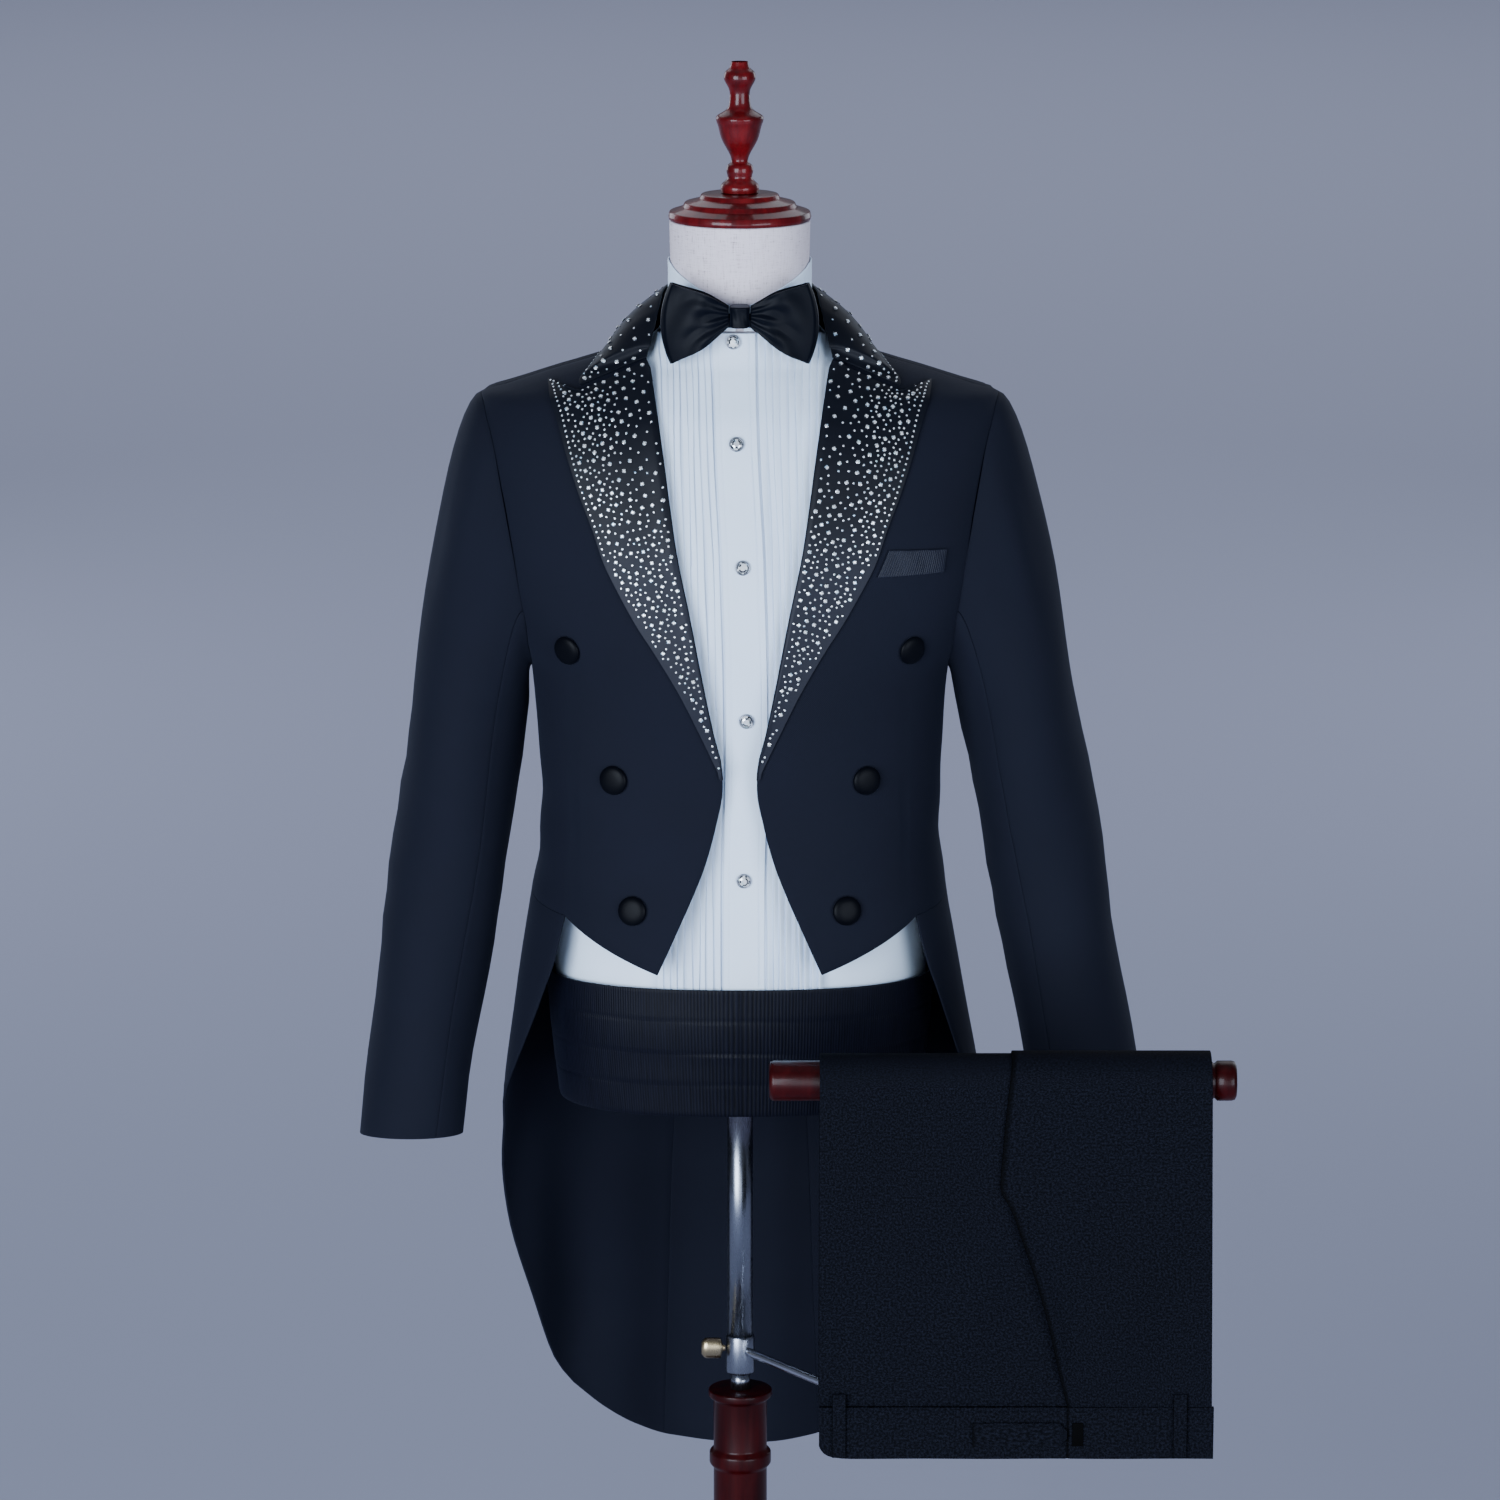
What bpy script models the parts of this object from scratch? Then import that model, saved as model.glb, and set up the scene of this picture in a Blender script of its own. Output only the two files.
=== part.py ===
# Evening tailcoat suit on a limbless dress form with a trouser rod.
# Metres, +Z up, the front faces -Y, and the origin is on the floor under the pole.
# A turn is measured in degrees round the body: 0 at the front, 90 at +X, 180 at the back.
import math

import bpy
import numpy as np

# Driving sizes
SEAM = 0.0003
COAT_CLOTH = 0.0020
SATIN = 0.0014
SHIRT_CLOTH = 0.0014
TROUSER_CLOTH = 0.0018
SHIRT_OUT = 0.0038
LAPEL_OUT = 0.0027
COLLAR_OUT = 0.0036
BUTTON_RADIUS = 0.0125
STUD_RADIUS = 0.0062
ARMHOLE_CENTRE = 1.3025
ARMHOLE_RADIUS = 0.1155
RING_STEPS = 24
SLEEVE_SEAM = 120
SIDE_SEAM_RING = 150
SIDE_SEAM_TURN = 88
WAIST_HEIGHT = 0.988
WAIST_CORNER = 0.1485
FRONT_POINT_HEIGHT = 0.948
NECK_HEIGHT = 1.4622
BACK_SEAM_TURN = 167
TAIL_SEAM_TURN = 163
TAIL_ROWS = 8
COLLAR_BULGE = 0.005
COLLAR_STAND_RADIUS = 0.0662
COLLAR_STAND_FLARE = 0.0050
COLLAR_STAND_TOP = 1.4985
CUFF_HEIGHT = 0.780
PLEATS = 9
PLEAT_WIDTH = 0.0056
PLEAT_START = 0.0190
PLEAT_RISE = 0.0009
PLACKET_HALF = 0.0172
SHIRT_SHOULDER = 0.176
SHIRT_ARMHOLE_RADIUS = 0.1095
PLACKET_OUT = 0.0022
SHIRT_LEVELS = (0.832, 1.000, 1.140, 1.195, 1.250)
SHIRT_TOP_STEPS = (0.760, 0.574, 0.375, 0.221, 0.115, 0.042, 0.0)
SHIRT_NECKLINE = ((0.0, 1.4765), (0.040, 1.4762), (0.056, 1.4735), (0.063, 1.4700), (0.071, 1.4640))
BOW_HEIGHT = 1.4925
BOW_KNOT_Y = -0.0721
BOW_CLOTH = 0.0014
SASH_PLEATS = 4
SASH_TOP = 0.9270
SASH_BOTTOM = 0.8180
SASH_DROOP = 0.010
SASH_INNER = 0.0070
FORM_BOTTOM = 0.824
FORM_TOP = 1.563
FORM_SHOWN_LOW = 0.900
FORM_SHOWN_HIGH = 1.480
FORM_INSET = 0.0028
ROD_RADIUS = 0.0164
ROD_CENTRE = (0.214, -0.280, 0.8964)
ROD_LENGTH = 0.380
ARM_HEIGHT = 0.577
ARM_RADIUS = 0.0038
ARM_BEND = 0.020
CLAMP_REACH = 0.0129
KNOB_HEIGHT = 0.5790
KNOB_Y = -0.004
TROUSER_LEFT = 0.0650
TROUSER_RIGHT = 0.3830
TROUSER_BOTTOM = 0.5815
BAND_TOP = 0.6255

# Body sections of the coat, outer face
COAT_SECTIONS = (
    # height, half_width, front, back, squareness
    (0.438, 0.200, 0.100, 0.158, 2.3),
    (0.600, 0.206, 0.130, 0.158, 2.3),
    (0.700, 0.210, 0.140, 0.156, 2.3),
    (0.800, 0.206, 0.145, 0.150, 2.3),
    (0.900, 0.192, 0.146, 0.141, 2.4),
    (0.950, 0.184, 0.145, 0.133, 2.4),
    (0.990, 0.177, 0.142, 0.126, 2.4),
    (1.030, 0.171, 0.136, 0.119, 2.5),
    (1.070, 0.169, 0.131, 0.114, 2.5),
    (1.120, 0.171, 0.130, 0.113, 2.5),
    (1.187, 0.176, 0.133, 0.118, 2.5),
    (1.220, 0.190, 0.133, 0.121, 2.5),
    (1.270, 0.206, 0.130, 0.124, 2.5),
    (1.320, 0.216, 0.122, 0.124, 2.5),
    (1.370, 0.221, 0.109, 0.120, 2.5),
    (1.400, 0.2215, 0.096, 0.112, 2.4),
    (1.418, 0.217, 0.084, 0.104, 2.3),
    (1.4265, 0.192, 0.077, 0.099, 2.3),
    (1.438, 0.157, 0.068, 0.092, 2.2),
    (1.448, 0.124, 0.062, 0.086, 2.1),
    (1.4575, 0.100, 0.061, 0.083, 2.0),
    (1.4625, 0.089, 0.061, 0.081, 2.0),
    (1.475, 0.080, 0.062, 0.078, 2.0),
)

# Body sections of the dress form
FORM_SECTIONS = (
    # height, half_width, front, back, squareness
    (0.800, 0.1430, 0.097, 0.099, 2.4),
    (0.860, 0.1505, 0.104, 0.106, 2.4),
    (0.900, 0.1540, 0.108, 0.110, 2.4),
    (0.950, 0.1555, 0.108, 0.109, 2.4),
    (1.000, 0.1545, 0.1085, 0.106, 2.5),
    (1.060, 0.1530, 0.1100, 0.102, 2.5),
    (1.120, 0.1560, 0.1115, 0.102, 2.5),
    (1.187, 0.1640, 0.116, 0.107, 2.5),
    (1.250, 0.1760, 0.117, 0.112, 2.5),
    (1.310, 0.1880, 0.110, 0.114, 2.5),
    (1.360, 0.1950, 0.099, 0.111, 2.5),
    (1.390, 0.1950, 0.089, 0.105, 2.4),
    (1.405, 0.1880, 0.083, 0.100, 2.3),
    (1.416, 0.1700, 0.076, 0.093, 2.3),
    (1.425, 0.1480, 0.070, 0.088, 2.2),
    (1.435, 0.1220, 0.064, 0.083, 2.1),
    (1.445, 0.0980, 0.058, 0.079, 2.0),
    (1.455, 0.0800, 0.055, 0.071, 2.0),
    (1.470, 0.0670, 0.053, 0.065, 2.0),
    (1.490, 0.0600, 0.0545, 0.061, 2.0),
    (1.510, 0.0580, 0.0560, 0.059, 2.0),
    (1.570, 0.0590, 0.058, 0.058, 2.0),
)

# Armhole of the coat, by the angle round its ring from the shoulder point
ARMHOLE_TURNS = (
    # ring, front_turn, back_turn
    (0, 90.0, 90.0),
    (15, 78.0, 103.0),
    (30, 71.0, 110.0),
    (60, 63.0, 116.5),
    (90, 60.5, 118.0),
    (120, 62.7, 113.5),
    (150, 74.0, 103.0),
    (165, 82.0, 96.5),
    (180, 90.0, 90.0),
)

# Front edge of the coat with the roll line above it
FRONT_EDGE = (
    # height, reach from the middle
    (0.9480, 0.0687),
    (0.9820, 0.0535),
    (1.0150, 0.0390),
    (1.0400, 0.0290),
    (1.0725, 0.0200),
    (1.1050, 0.0142),
    (1.1200, 0.0144),
    (1.1517, 0.0215),
    (1.1990, 0.0310),
    (1.2503, 0.0410),
    (1.3035, 0.0520),
    (1.3628, 0.0605),
    (1.3940, 0.0650),
    (1.4246, 0.0700),
    (1.4500, 0.0752),
    (1.4570, 0.0800),
)

# Outer edge of the lapel
LAPEL_EDGE = (
    # height, reach from the middle
    (1.1130, 0.0150),
    (1.1480, 0.0310),
    (1.1860, 0.0495),
    (1.2230, 0.0715),
    (1.2426, 0.0845),
    (1.2710, 0.1005),
    (1.2940, 0.1120),
    (1.3190, 0.1205),
    (1.3470, 0.1315),
    (1.3820, 0.1435),
    (1.4000, 0.1490),
    (1.4140, 0.1540),
    (1.4227, 0.1575),
    (1.4325, 0.1590),
)
GORGE_INNER = (0.0757, 1.4500)
NOTCH = (0.1325, 1.4262)
LAPEL_TIP = (0.1590, 1.4325)

# Collar, from the gorge round to the middle of the back
COLLAR_SECTIONS = (
    # along, fold_x, fold_y, fold_z, edge_turn, edge_height
    (0.00, 0.0765, -0.0490, 1.4530, 41.5, 1.4278),
    (0.20, 0.0725, -0.0360, 1.4720, 59.4, 1.4420),
    (0.35, 0.0675, -0.0200, 1.4930, 78.0, 1.4500),
    (0.50, 0.0645, 0.0000, 1.5045, 90.0, 1.4530),
    (0.75, 0.0505, 0.0475, 1.5080, 135.0, 1.4480),
    (1.00, 0.0000, 0.0715, 1.5095, 180.0, 1.4440),
)

# Front edge of the tail skirt and its rounded lower outline
SKIRT_EDGE = (
    # height, turn
    (0.5055, 136.6),
    (0.5370, 128.0),
    (0.5700, 121.2),
    (0.6120, 115.4),
    (0.6580, 110.3),
    (0.7127, 105.0),
    (0.7614, 97.0),
    (0.8020, 84.0),
    (0.8370, 73.5),
    (0.8930, 63.5),
    (0.9216, 59.5),
    (0.9505, 55.8),
    (0.9880, 53.8),
)
TAIL_HEM = (
    # turn, height
    (136.6, 0.5055),
    (145.0, 0.4820),
    (155.0, 0.4610),
    (165.0, 0.4455),
    (174.0, 0.4400),
    (180.0, 0.4390),
)
BACK_SEAM = (
    # height, turn
    (0.446, 163.0),
    (0.700, 166.0),
    (0.900, 168.0),
    (1.000, 167.0),
    (1.050, 163.0),
    (1.090, 157.0),
    (1.130, 147.0),
    (1.165, 133.0),
    (1.190, 116.0),
    (1.2025, 103.0),
)

# Hanging sleeves, side by side
SLEEVE_SECTIONS = {
    # height, centre_x, centre_y, half_width, half_depth
    "left": (
        (0.780, 0.2818, -0.026, 0.0443, 0.0445),
        (0.845, 0.2740, -0.014, 0.0450, 0.0500),
        (0.941, 0.2598, 0.000, 0.0483, 0.0570),
        (1.040, 0.2445, 0.006, 0.0500, 0.0620),
        (1.150, 0.2297, 0.004, 0.0495, 0.0680),
    ),
    "right": (
        (0.780, 0.3010, -0.026, 0.0460, 0.0445),
        (0.845, 0.2909, -0.014, 0.0484, 0.0500),
        (0.941, 0.2738, 0.000, 0.0488, 0.0570),
        (1.040, 0.2567, 0.006, 0.0512, 0.0620),
        (1.150, 0.2358, 0.004, 0.0513, 0.0680),
    ),
}

BUTTONS = (
    # reach, height
    (0.1430, 1.2170),
    (0.1050, 1.1090),
    (0.0888, 1.0010),
)
SHIRT_COLLAR_TOPS = (
    # turn, height
    (0, 1.4965),
    (14, 1.5020),
    (27, 1.5085),
    (48, 1.5180),
    (66, 1.5250),
    (78, 1.5290),
    (95, 1.5310),
    (180, 1.5310),
)
PLACKET_DRIFT = (
    # height, how far the shirt's middle has slipped towards +X
    (1.0236, 0.0034),
    (1.1615, 0.0056),
    (1.2890, 0.0025),
    (1.3870, -0.0026),
    (1.4690, -0.0050),
)
STUDS = (
    # height, gap to the placket
    (1.4690, 0.0007),
    (1.3870, 0.0006),
    (1.2890, 0.0003),
    (1.1615, 0.0004),
    (1.0236, 0.0005),
)
WELT_CORNERS = ((0.1225, 1.3035), (0.1700, 1.3010), (0.1670, 1.2820), (0.1130, 1.2815))

# Curve where the right trouser half laps over the left one
TROUSER_SEAM = (
    # height, x
    (0.6260, 0.2684),
    (0.6580, 0.2605),
    (0.6937, 0.2528),
    (0.7287, 0.2433),
    (0.7670, 0.2306),
    (0.7940, 0.2212),
    (0.8130, 0.2118),
    (0.8456, 0.2138),
    (0.8865, 0.2175),
    (0.9200, 0.2212),
)

# Turned profiles as radius and height, bottom to top
BASE_PROFILE = ((0.0, 0.0), (0.186, 0.0), (0.190, 0.004), (0.190, 0.022), (0.184, 0.028), (0.0, 0.028))
POST_PROFILE = (
    (0.0, 0.0283), (0.040, 0.0283), (0.040, 0.040), (0.030, 0.052), (0.0235, 0.070), (0.0232, 0.470),
    (0.0268, 0.474), (0.0268, 0.484), (0.0232, 0.488), (0.0232, 0.532), (0.0275, 0.535), (0.0275, 0.541),
    (0.0, 0.541),
)
LOWER_ROD_PROFILE = ((0.0, 0.5413), (0.0083, 0.5413), (0.0083, 0.5560), (0.0, 0.5560))
CLAMP_PROFILE = ((0.0, 0.5563), (0.0118, 0.5563), (0.0125, 0.558), (0.0125, 0.588), (0.0118, 0.590), (0.0, 0.590))
POLE_PROFILE = ((0.0, 0.5903), (0.011, 0.5903), (0.011, 0.8235), (0.0, 0.8235))
CAP_PROFILE = (
    (0.0, 1.5633), (0.0588, 1.5633), (0.0598, 1.566), (0.0588, 1.5705), (0.048, 1.574), (0.046, 1.578),
    (0.034, 1.581), (0.032, 1.585), (0.0, 1.586),
)
FINIAL_PROFILE = (
    (0.0, 1.5863), (0.0155, 1.5863), (0.0158, 1.592), (0.0105, 1.598), (0.0112, 1.604), (0.0105, 1.6085),
    (0.0072, 1.612), (0.0085, 1.618), (0.0150, 1.630), (0.0180, 1.641), (0.0196, 1.646), (0.0190, 1.650),
    (0.0105, 1.656), (0.0085, 1.665), (0.0090, 1.672), (0.0130, 1.680), (0.0125, 1.686), (0.0085, 1.690),
    (0.0070, 1.695), (0.0, 1.698),
)

# Colours as red, green, blue, then roughness and metallic
FINISHES = {
    "wool": ((0.012, 0.014, 0.022), 0.85, 0.0),
    "satin": ((0.010, 0.012, 0.020), 0.35, 0.0),
    "shirting": ((0.80, 0.83, 0.88), 0.75, 0.0),
    "linen": ((0.72, 0.62, 0.56), 0.90, 0.0),
    "wood": ((0.13, 0.020, 0.012), 0.25, 0.0),
    "chrome": ((0.80, 0.80, 0.80), 0.12, 1.0),
    "brass": ((0.62, 0.47, 0.22), 0.25, 1.0),
    "crystal": ((0.75, 0.78, 0.82), 0.10, 0.3),
}


# Blender objects and materials

def clear_scene():
    for item in list(bpy.data.objects):
        bpy.data.objects.remove(item, do_unlink=True)


def finish(name):
    colour, roughness, metallic = FINISHES[name]
    material = bpy.data.materials.get(name) or bpy.data.materials.new(name)
    material.use_nodes = True
    shader = material.node_tree.nodes["Principled BSDF"]
    shader.inputs["Base Color"].default_value = (*colour, 1.0)
    shader.inputs["Roughness"].default_value = roughness
    shader.inputs["Metallic"].default_value = metallic
    return material


def add_object(name, points, faces, finish_name):
    mesh = bpy.data.meshes.new(name)
    mesh.from_pydata([tuple(map(float, point)) for point in points], [], faces)
    mesh.validate()
    mesh.shade_smooth()
    mesh.set_sharp_from_angle(angle=math.radians(40))
    mesh.materials.append(finish(finish_name))
    item = bpy.data.objects.new(name, mesh)
    bpy.context.scene.collection.objects.link(item)
    return item


# Curves, sections and surfaces

def smooth(table, column=1):
    """Smooth curve through one column of a table, against its rising first column"""
    xs = np.array([row[0] for row in table], float)
    ys = np.array([row[column] for row in table], float)
    step = np.diff(xs)
    slope = np.diff(ys) / step
    lean = np.concatenate(([slope[0]], np.zeros(len(xs) - 2), [slope[-1]]))
    for i in range(1, len(xs) - 1):
        before, after = slope[i - 1], slope[i]
        if before * after > 0:
            lean[i] = 2 * before * after / (before + after)

    def at(x):
        x = np.clip(x, xs[0], xs[-1])
        i = np.clip(np.searchsorted(xs, x) - 1, 0, len(xs) - 2)
        width = step[i]
        t = (x - xs[i]) / width
        start = ys[i] * (1 + 2 * t) * (1 - t) ** 2 + lean[i] * width * t * (1 - t) ** 2
        end = ys[i + 1] * t * t * (3 - 2 * t) + lean[i + 1] * width * t * t * (t - 1)
        return start + end

    return at


def body_surface(sections):
    """Function giving the points of a body at turns and heights, moved out along its normal"""
    half_width, front, back, squareness = (smooth(sections, column) for column in (1, 2, 3, 4))

    def raw(turn, height):
        power = 2 / squareness(height)
        angle = np.radians(turn)
        side = np.sign(np.sin(angle)) * np.abs(np.sin(angle)) ** power
        ahead = np.sign(np.cos(angle)) * np.abs(np.cos(angle)) ** power
        depth = np.where(np.cos(angle) > 0, front(height), back(height))
        return np.stack(np.broadcast_arrays(half_width(height) * side, -depth * ahead, height), axis=-1)

    def point(turn, height, out=0.0):
        turn, height = np.asarray(turn, float), np.asarray(height, float)
        across = raw(turn + 1.0, height) - raw(turn - 1.0, height)
        up = raw(turn, height + 0.0008) - raw(turn, height - 0.0008)
        normal = np.cross(across, up)
        normal /= np.linalg.norm(normal, axis=-1, keepdims=True)
        return raw(turn, height) + normal * np.asarray(out)[..., None]

    point.half_width, point.squareness = half_width, squareness
    return point


coat = body_surface(COAT_SECTIONS)
torso = body_surface(FORM_SECTIONS)


def turn_of(surface, reach, height):
    """Turn at which the front of a body reaches this far from its middle"""
    ratio = np.clip(reach / surface.half_width(height), 0.0, 1.0)
    return np.degrees(np.arcsin(ratio ** (surface.squareness(height) / 2)))


def between(start, end, steps):
    return np.linspace(start, end, steps + 1)


def patch(bottom, top, left, right, fade=5):
    """Grid of (turn, height) pairs between two side edges, bent near its ends to meet the other two"""
    bottom, top, left, right = (np.array(edge, float) for edge in (bottom, top, left, right))
    u = np.linspace(0, 1, len(bottom))[:, None, None]
    v = np.linspace(0, 1, len(left))[None, :, None]
    ruled = (1 - u) * left[None] + u * right[None]
    low_bend = bottom[:, None] - (1 - u) * bottom[0] - u * bottom[-1]
    high_bend = top[:, None] - (1 - u) * top[0] - u * top[-1]
    return ruled + (1 - v) ** fade * low_bend + v ** fade * high_bend


def grid_normals(grid, ring=False):
    """Normals of a grid of points, facing along columns x rows"""
    if ring:
        across = np.roll(grid, -1, 0) - np.roll(grid, 1, 0)
    else:
        across = np.gradient(grid, axis=0)
    up = np.gradient(grid, axis=1)
    normal = np.cross(across, up)
    return normal / np.maximum(np.linalg.norm(normal, axis=-1, keepdims=True), 1e-9)


def split(points, quad):
    """Two triangles of a quad, cut along its shorter diagonal"""
    a, b, c, d = quad
    if np.linalg.norm(points[a] - points[c]) <= np.linalg.norm(points[b] - points[d]):
        return (a, b, c), (a, c, d)
    return (b, c, d), (b, d, a)


def wall(name, outer, inner, finish_name, ring=False):
    """Closed cloth wall between two grids of points, columns first, outer face anticlockwise"""
    columns, rows = outer.shape[:2]
    points = np.concatenate((outer.reshape(-1, 3), inner.reshape(-1, 3)))
    depth = columns * rows
    quads = []
    spans = columns if ring else columns - 1
    for i in range(spans):
        j = (i + 1) % columns
        for k in range(rows - 1):
            quad = (i * rows + k, j * rows + k, j * rows + k + 1, i * rows + k + 1)
            quads.append(quad)
            quads.append(tuple(depth + corner for corner in reversed(quad)))
        low = (i * rows, j * rows)
        high = (i * rows + rows - 1, j * rows + rows - 1)
        quads.append((low[1], low[0], depth + low[0], depth + low[1]))
        quads.append((high[0], high[1], depth + high[1], depth + high[0]))
    if not ring:
        last = (columns - 1) * rows
        for k in range(rows - 1):
            quads.append((k, k + 1, depth + k + 1, depth + k))
            quads.append((last + k + 1, last + k, depth + last + k, depth + last + k + 1))
    faces = [triangle for quad in quads for triangle in split(points, quad)]
    return add_object(name, points, faces, finish_name)


def mirrored(grid):
    """The same grid on the other side of the body, still facing out"""
    flipped = grid[::-1].copy()
    flipped[..., 0] *= -1
    return flipped


def sided(side, grid):
    return grid if side == "right" else mirrored(grid)


def panel(name, side, surface, turns, heights, out, thickness, finish_name):
    """Cloth panel on a body between its outer face and the same points moved in"""
    outer = surface(turns, heights, out)
    inner = surface(turns, heights, np.asarray(out) - thickness)
    return wall(name, sided(side, outer), sided(side, inner), finish_name)


def turned(name, profile, finish_name, segments):
    """Solid of revolution about the stand's axis, from a profile that starts and ends on it"""
    points = [(0.0, 0.0, profile[0][1])]
    for radius, height in profile[1:-1]:
        for angle in between(0, math.tau, segments)[:-1]:
            points.append((radius * math.cos(angle), radius * math.sin(angle), height))
    points.append((0.0, 0.0, profile[-1][1]))
    last = len(points) - 1
    faces = []
    for i in range(segments):
        j = (i + 1) % segments
        faces.append((0, 1 + j, 1 + i))
        for ring in range(len(profile) - 3):
            low, high = 1 + ring * segments, 1 + (ring + 1) * segments
            faces.append((low + i, low + j, high + j, high + i))
        top = 1 + (len(profile) - 3) * segments
        faces.append((top + i, top + j, last))
    return add_object(name, points, faces, finish_name)


def dome(name, place, normal, radius, height, finish_name, segments=10):
    """Flat-backed dome on a face that looks along the normal"""
    normal = np.array(normal) / np.linalg.norm(normal)
    across = np.cross((0.0, 0.0, 1.0), normal)
    across /= np.linalg.norm(across)
    up = np.cross(normal, across)
    levels = ((0.92, 0.0), (1.0, 0.25), (0.94, 0.6), (0.62, 0.9))
    points = [place]
    for part, rise in levels:
        for angle in between(0, math.tau, segments)[:-1]:
            ring = across * math.cos(angle) + up * math.sin(angle)
            points.append(place + radius * part * ring + height * rise * normal)
    points.append(place + height * normal)
    faces = []
    for i in range(segments):
        j = (i + 1) % segments
        faces.append((0, 1 + j, 1 + i))
        for ring in range(len(levels) - 1):
            low, high = 1 + ring * segments, 1 + (ring + 1) * segments
            faces.append((low + i, low + j, high + j, high + i))
        faces.append((1 + (len(levels) - 1) * segments + i, 1 + (len(levels) - 1) * segments + j, len(points) - 1))
    return add_object(name, points, faces, finish_name)


# Tailcoat

def armhole(ring, face):
    """Turn and height of the coat's armhole; face is front or back"""
    column = 1 if face == "front" else 2
    height = ARMHOLE_CENTRE + ARMHOLE_RADIUS * np.cos(np.radians(ring))
    return smooth(ARMHOLE_TURNS, column)(ring), height


def armhole_edge(face, start, end, shift):
    """Points of the armhole from one ring angle to another, moved along the body by a shift in degrees"""
    step = 360 // RING_STEPS
    rings = np.arange(start, end + 1, step) if end > start else np.arange(start, end - 1, -step)
    return [(armhole(ring, face)[0] + shift, armhole(ring, face)[1]) for ring in rings]


def side_seam_points():
    """Side seam under the arm, from the waist up to the armhole"""
    points = [(SIDE_SEAM_TURN, z) for z in between(waist_seam(SIDE_SEAM_TURN), 1.155, 4)]
    return points + [(84.0, 1.180)]


def back_seam_points(low, high, steps):
    """Curved seam between the back and its neighbours"""
    turn = smooth(BACK_SEAM)
    return [(float(turn(z)), z) for z in between(low, high, steps)]


def seam_turn(gap=SEAM / 2, radius=0.17):
    return math.degrees(gap / radius)


def forepart(side):
    """Front of the coat, from the cut-away edge to the side seam and armhole"""
    slit = seam_turn()
    edge = smooth(FRONT_EDGE)
    right = [(turn - slit, z) for turn, z in side_seam_points()] + armhole_edge("front", SIDE_SEAM_RING, 0, -slit)
    lower_rows = 6
    heights = np.concatenate((between(FRONT_POINT_HEIGHT, 1.112, lower_rows),
                              between(1.112, 1.457, len(right) - lower_rows - 2)[1:]))
    left = [(float(turn_of(coat, edge(z), z)), z) for z in heights] + [(90 - slit, NECK_HEIGHT)]
    corner = float(turn_of(coat, WAIST_CORNER, WAIST_HEIGHT))
    turns = np.concatenate((between(left[0][0], corner, 6), between(corner, right[0][0], 3)[1:]))
    bottom = [(turn, hem_height(turn, left[0][0], corner)) for turn in turns]
    top = [(90 - slit, z) for z in between(left[-1][1], right[-1][1], len(turns) - 1)]
    grid = patch(bottom, top, left, right)
    panel(f"coat_front_{side}", side, coat, grid[..., 0], grid[..., 1], 0.0, COAT_CLOTH, "wool")


def hem_height(turn, start, corner):
    """Lower edge of the forepart, rising from its point to the waist seam"""
    if turn >= corner:
        return waist_seam(turn)
    return FRONT_POINT_HEIGHT + (WAIST_HEIGHT - FRONT_POINT_HEIGHT) * (turn - start) / (corner - start)


def waist_seam(turn):
    """Height of the waist seam, rising a little towards the back"""
    return WAIST_HEIGHT + 0.012 * (turn - SKIRT_EDGE[-1][1]) / (BACK_SEAM_TURN - SKIRT_EDGE[-1][1])


def side_body(side):
    """Panel under the arm, between the side seam and the back seam"""
    slit = seam_turn()
    top = armhole_edge("front", SIDE_SEAM_RING, 180, 0.0)[:-1] + armhole_edge("back", 180, SIDE_SEAM_RING, 0.0)
    top = [(turn, height - SEAM / 2) for turn, height in top]
    top[0] = (top[0][0] + slit, top[0][1])
    top[-1] = (top[-1][0] - slit, top[-1][1])
    left = [(turn + slit, z) for turn, z in side_seam_points()] + [top[0]]
    right = [(turn - slit, z) for turn, z in back_seam_points(waist_seam(BACK_SEAM_TURN), 1.190, 5)] + [top[-1]]
    bottom = [(turn, waist_seam(turn)) for turn in between(left[0][0], right[0][0], len(top) - 1)]
    grid = patch(bottom, top, left, right)
    panel(f"coat_side_{side}", side, coat, grid[..., 0], grid[..., 1], 0.0, COAT_CLOTH, "wool")


def back_panel(side):
    """Back with its long narrow tail, from the neck to the hem"""
    slit = seam_turn()
    hem = smooth(TAIL_HEM)
    waist = waist_seam(BACK_SEAM_TURN)
    tail = back_seam_points(float(hem(TAIL_SEAM_TURN)), waist, TAIL_ROWS)
    tail[0] = (TAIL_SEAM_TURN, tail[0][1])
    seam = tail + back_seam_points(waist, 1.190, 5)[1:]
    left = [(turn + slit, z) for turn, z in seam] + armhole_edge("back", SIDE_SEAM_RING, 0, slit)
    middle = between(float(hem(180)), waist, TAIL_ROWS)
    heights = np.concatenate((middle, between(waist, NECK_HEIGHT, len(left) - len(middle))[1:]))
    right = [(180 - slit, z) for z in heights]
    bottom = [(turn, float(hem(turn))) for turn in between(left[0][0], right[0][0], 5)]
    shoulder = [(90 + slit, z) for z in between(left[-1][1], NECK_HEIGHT, 2)]
    neck = [(turn, NECK_HEIGHT) for turn in between(90 + slit, 180 - slit, 3)]
    grid = patch(bottom, shoulder + neck[1:], left, right)
    panel(f"coat_back_{side}", side, coat, grid[..., 0], grid[..., 1], 0.0, COAT_CLOTH, "wool")


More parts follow.
